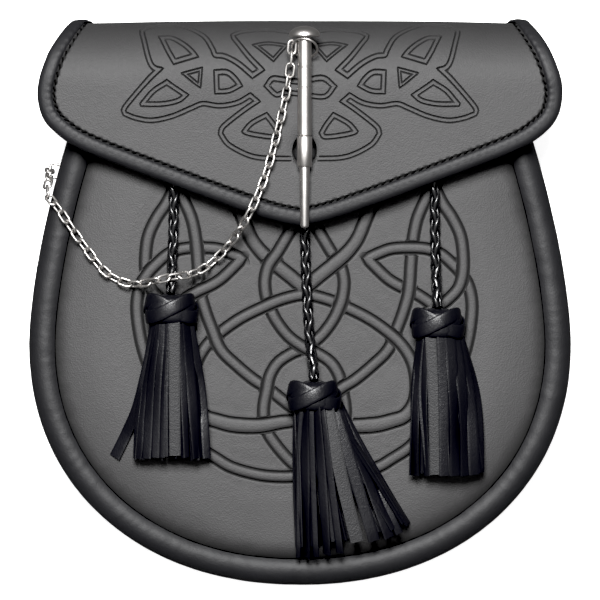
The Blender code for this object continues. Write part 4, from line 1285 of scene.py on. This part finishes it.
def add_pin():
    """The pin: a domed head, a shank with two turned lines, and a slim end through the barrel."""
    under = PIN_TOP_Y - HEAD_HEIGHT
    shoulder = BARREL_TOP_Y + GAP
    slim = BARREL_BORE - GAP
    dome, tip = HEAD_HEIGHT - 0.5 * MM, 1.1 * MM
    profile = [(0.01 * MM, PIN_TOP_Y)]
    for t in np.radians(np.linspace(82, 8, 12)):
        profile.append((HEAD_RADIUS * math.cos(t), PIN_TOP_Y - dome * (1 - math.sin(t))))
    profile += [(HEAD_RADIUS, under + 0.45 * MM), (HEAD_RADIUS - 0.25 * MM, under),
                (PIN_RADIUS - 0.35 * MM, under), (PIN_RADIUS - 0.35 * MM, under - 0.6 * MM),
                (PIN_RADIUS, under - 0.9 * MM)]
    for y in from_photo([(0, 68), (0, 88.5)])[:, 1]:
        profile += [(PIN_RADIUS, y + 0.3 * MM), (PIN_RADIUS - 0.2 * MM, y + 0.1 * MM),
                    (PIN_RADIUS - 0.2 * MM, y - 0.1 * MM), (PIN_RADIUS, y - 0.3 * MM)]
    profile += [(PIN_RADIUS, shoulder + 0.25 * MM), (PIN_RADIUS - 0.25 * MM, shoulder),
                (slim, shoulder), (slim, shoulder - BARREL_LENGTH)]
    for t in np.radians((0, 30, 60, 85)):
        profile.append((PIN_TIP_RADIUS * math.cos(t), PIN_TIP_Y + tip * (1 - math.sin(t))))
    add_piece("turned_pin", loft(turned(profile)), "nickel", "closure_pin", sharp=28)


def add_barrel():
    """The barrel on its stem and round base, and a dark washer on the base, put there as painted
    shade so that the slot round the stem stays dark.
    """
    low, high = BARREL_TOP_Y - BARREL_LENGTH, BARREL_TOP_Y
    soft = 0.2 * MM
    profile = [(BARREL_BORE, low), (BARREL_RADIUS - soft, low), (BARREL_RADIUS, low + soft),
               (BARREL_RADIUS, high - soft), (BARREL_RADIUS - soft, high), (BARREL_BORE, high)]
    barrel = loft(turned(profile), loop=True)
    base_z = panel_top(CLOSURE_X, STEM_Y) + GAP
    foot, top = base_z + BASE_HEIGHT / 2, PIN_Z - (BARREL_RADIUS + BARREL_BORE) / 2
    half_width, half_length, r = STEM_WIDTH / 2, STEM_LENGTH / 2, BASE_RADIUS
    stem, base, shade_washer = (
        loft([level(oval(CLOSURE_X, STEM_Y, a, b), z) for a, b, z in profile]) for profile in (
            ((half_width, half_length, foot), (half_width, half_length, top)),
            ((r, r, base_z), (r, r, foot), (r - soft, r - soft, foot + soft)),
            ((r + soft, r + soft, foot + 2 * soft), (r + soft, r + soft, foot + 5 * soft),
             (r - soft, r - soft, foot + 6 * soft))))
    add_piece("pin_barrel", combine([barrel, stem, base]), "nickel", "closure_barrel", sharp=45)
    # Painted shade: the dark leather washer hides the bright base seen through the slot.
    add_piece("barrel_washer", shade_washer, "binding", sharp=60)


def ring_matrix():
    """The pin ring's place: round the shank, tilted so that its front is up under the head."""
    rise = RING_RADIUS * math.sin(math.radians(RING_TILT)) + RING_WIRE / 2
    place = Matrix.Translation((CLOSURE_X, PIN_TOP_Y - HEAD_HEIGHT - GAP - rise, PIN_Z))
    turn = Matrix.Rotation(math.radians(RING_TURN), 4, "Z")
    return place @ turn @ Matrix.Rotation(math.radians(-90 - RING_TILT), 4, "X")


def add_ring():
    """The jump ring under the pin's head."""
    place = ring_matrix()
    flat = level(oval(0, 0, RING_RADIUS, RING_RADIUS, 64), 0)
    path = np.array([place @ Vector(p) for p in flat])
    up = place.to_3x3() @ Vector((0, 0, 1))
    ring = sweep_closed(path, up, RING_WIRE / 2, RING_WIRE / 2, 14)
    add_piece("jump_ring", ring, "nickel", "pin_ring")


def staple_frame():
    """The staple's middle on the gusset's side, and the directions outwards and along the wall."""
    k = int(np.argmax(OUTLINE[:, 1] >= STAPLE_Y))
    share = (STAPLE_Y - OUTLINE[k - 1, 1]) / (OUTLINE[k, 1] - OUTLINE[k - 1, 1])
    x = OUTLINE[k - 1, 0] + share * (OUTLINE[k, 0] - OUTLINE[k - 1, 0])
    out = Vector((INWARDS[k, 0], -INWARDS[k, 1], 0)).normalized()
    return Vector((-x, STAPLE_Y, STAPLE_Z)), out, Vector((out.y, -out.x, 0))


def add_staple():
    """The wire staple on the gusset's left side, with rounded corners."""
    middle, out, along = staple_frame()
    half, corner = STAPLE_SPAN / 2, STAPLE_WIRE
    plan = [(-half, GAP), (-half, STAPLE_REACH - corner)]
    for t in np.radians((22, 45, 68, 90)):
        plan.append((-half + corner * (1 - math.cos(t)), STAPLE_REACH - corner * (1 - math.sin(t))))
    plan += [(-a, b) for a, b in plan[::-1]]
    wire = np.array([middle + along * a + out * b for a, b in plan])
    staple = loft(sweep(wire, (0, 0, 1), STAPLE_WIRE / 2, STAPLE_WIRE / 2, 14))
    add_piece("wire_staple", staple, "nickel", "chain_staple", sharp=60)


def chain_line():
    """The smooth line that the chain's joints lie on, from the ring to the staple."""
    middle, out, _ = staple_frame()
    heights = {"flap": flap_top, "panel": panel_top, "shoulder": lambda x, y: DEPTH}
    laid = [Vector((x, TOP_Y - down, heights[carrier](x, TOP_Y - down) + lift))
            for x, down, carrier, lift in CHAIN_ROUTE]
    turn = math.radians(HOOK_ANGLE)
    place = ring_matrix()
    hook = place @ (Vector((math.cos(turn), math.sin(turn), 0)) * RING_RADIUS)
    wire = place.to_3x3() @ Vector((-math.sin(turn), math.cos(turn), 0))
    start = hook - (laid[0] - hook).normalized() * (RING_WIRE / 2 + HOOK_GAP)
    play = LINK_WIDTH / 2 - LINK_WIRE - RING_WIRE
    start += (hook - Vector((CLOSURE_X, hook.y, PIN_Z))).normalized() * play / 2
    bridge = middle + out * STAPLE_REACH
    end = bridge - Vector((0, 0, STAPLE_WIRE / 2 + HOOK_GAP))
    over = Vector((bridge.x - LINK_WIDTH / 8, STAPLE_Y - 2 * LINK_PITCH, DEPTH - LINK_WIDTH / 2))
    down = Vector((bridge.x, STAPLE_Y - 0.7 * LINK_PITCH, (DEPTH + STAPLE_Z + LINK_WIDTH) / 2))
    line = catmull(np.array([start, *laid, over, down, end]), 24)
    return even(line, LINK_PITCH), wire


def chain_normals(joints, wire):
    """Each link's normal: a quarter turn on from the last, twisted a little at both ends."""
    count = len(joints) - 1
    _, out, _ = staple_frame()
    normals, start_twist = [], None
    for k in range(count):
        along = (joints[k + 1] - joints[k]).normalized()
        up = Vector((0, 0, 1)).lerp(out, float(ease((k + TWIST_LINKS - count) / TWIST_LINKS)))
        side = along.cross(up).normalized()
        up = side.cross(along)
        turn = math.pi / 2 if (count - k) % 2 else 0
        if start_twist is None:
            start_twist = math.atan2(wire.dot(side), wire.dot(up)) - turn
            start_twist = math.remainder(start_twist - math.radians(CHAIN_LEAN), math.pi)
        turn += start_twist * (1 - float(ease(k / TWIST_LINKS)))
        turn += math.radians(CHAIN_LEAN) * float(ease((count - 1 - k) / TWIST_LINKS))
        normals.append(up * math.cos(turn) + side * math.sin(turn))
    return normals


def link(start, end, normal):
    """One oval link of round wire, from joint to joint, in the plane across normal."""
    along = (end - start).normalized()
    across = normal.cross(along).normalized()
    wire = LINK_WIRE / 2
    bend = (LINK_WIDTH - LINK_WIRE) / 2
    straight = (end - start).length / 2 + wire - bend
    middle = (start + end) / 2
    path = []
    for t in np.radians(np.arange(0, 360, 360 / 28) + 360 / 56):
        shift = straight if math.cos(t) > 0 else -straight
        path.append(middle + along * (shift + bend * math.cos(t)) + across * bend * math.sin(t))
    return sweep_closed(np.array(path), along.cross(across), wire, wire, 10)


def add_chain():
    """The chain's links, from joint to joint."""
    joints, wire = chain_line()
    joints = [Vector(p) for p in joints]
    links = map(link, joints, joints[1:], chain_normals(joints, wire))
    add_piece("cable_chain", combine(links), "chain", "chain")


def dress_belt_loops():
    """The loops on the back keep their solids and take the binding's leather."""
    for name in ("belt_loop_left", "belt_loop_right"):
        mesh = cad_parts[name].data
        mesh.materials.clear()
        mesh.materials.append(MATERIALS["binding"])


add_pin()
add_barrel()
add_ring()
add_staple()
add_chain()
dress_belt_loops()


LIGHT_AIM = Vector((0, 0, DEPTH))


def add_light(name, size, watts, place):
    data = bpy.data.lights.new(name, "AREA")
    data.shape = "RECTANGLE"
    data.size, data.size_y = size
    data.energy = watts
    lamp = add_object(name, data)
    lamp.location = place
    lamp.rotation_euler = (LIGHT_AIM - lamp.location).to_track_quat("-Z", "Y").to_euler()


def add_studio():
    """A pale floor, a strong soft light beyond the pouch's top and a weak one over it."""
    mesh = bpy.data.meshes.new("floor")
    mesh.from_pydata([(-3, -3, 0), (3, -3, 0), (3, 3, 0), (-3, 3, 0)], [], [(0, 1, 2, 3)])
    material, _, shader = new_material("floor")
    feed_all(shader, Base_Color=(0.90, 0.90, 0.90, 1), Roughness=0.8,
             Emission_Color=(1, 1, 1, 1), Emission_Strength=0.85)
    mesh.materials.append(material)
    floor = add_object("floor", mesh)
    floor.visible_glossy = False
    world = bpy.data.worlds.new("studio")
    world.use_nodes = True
    feed_all(world.node_tree.nodes["Background"], Color=(1, 1, 1, 1), Strength=0.09)
    bpy.context.scene.world = world
    add_light("overhead_softbox", (1.6, 1.5), 5, (-0.1, -0.15, 1.35))
    add_light("key_softbox", (0.90, 0.90), 250, (-0.16, 1.16, 2.53))
    view = bpy.context.scene.view_settings
    view.view_transform = "Standard"
    view.use_curve_mapping = True
    view.curve_mapping.black_level = (0.010, 0.010, 0.010)
    view.curve_mapping.update()


add_studio()
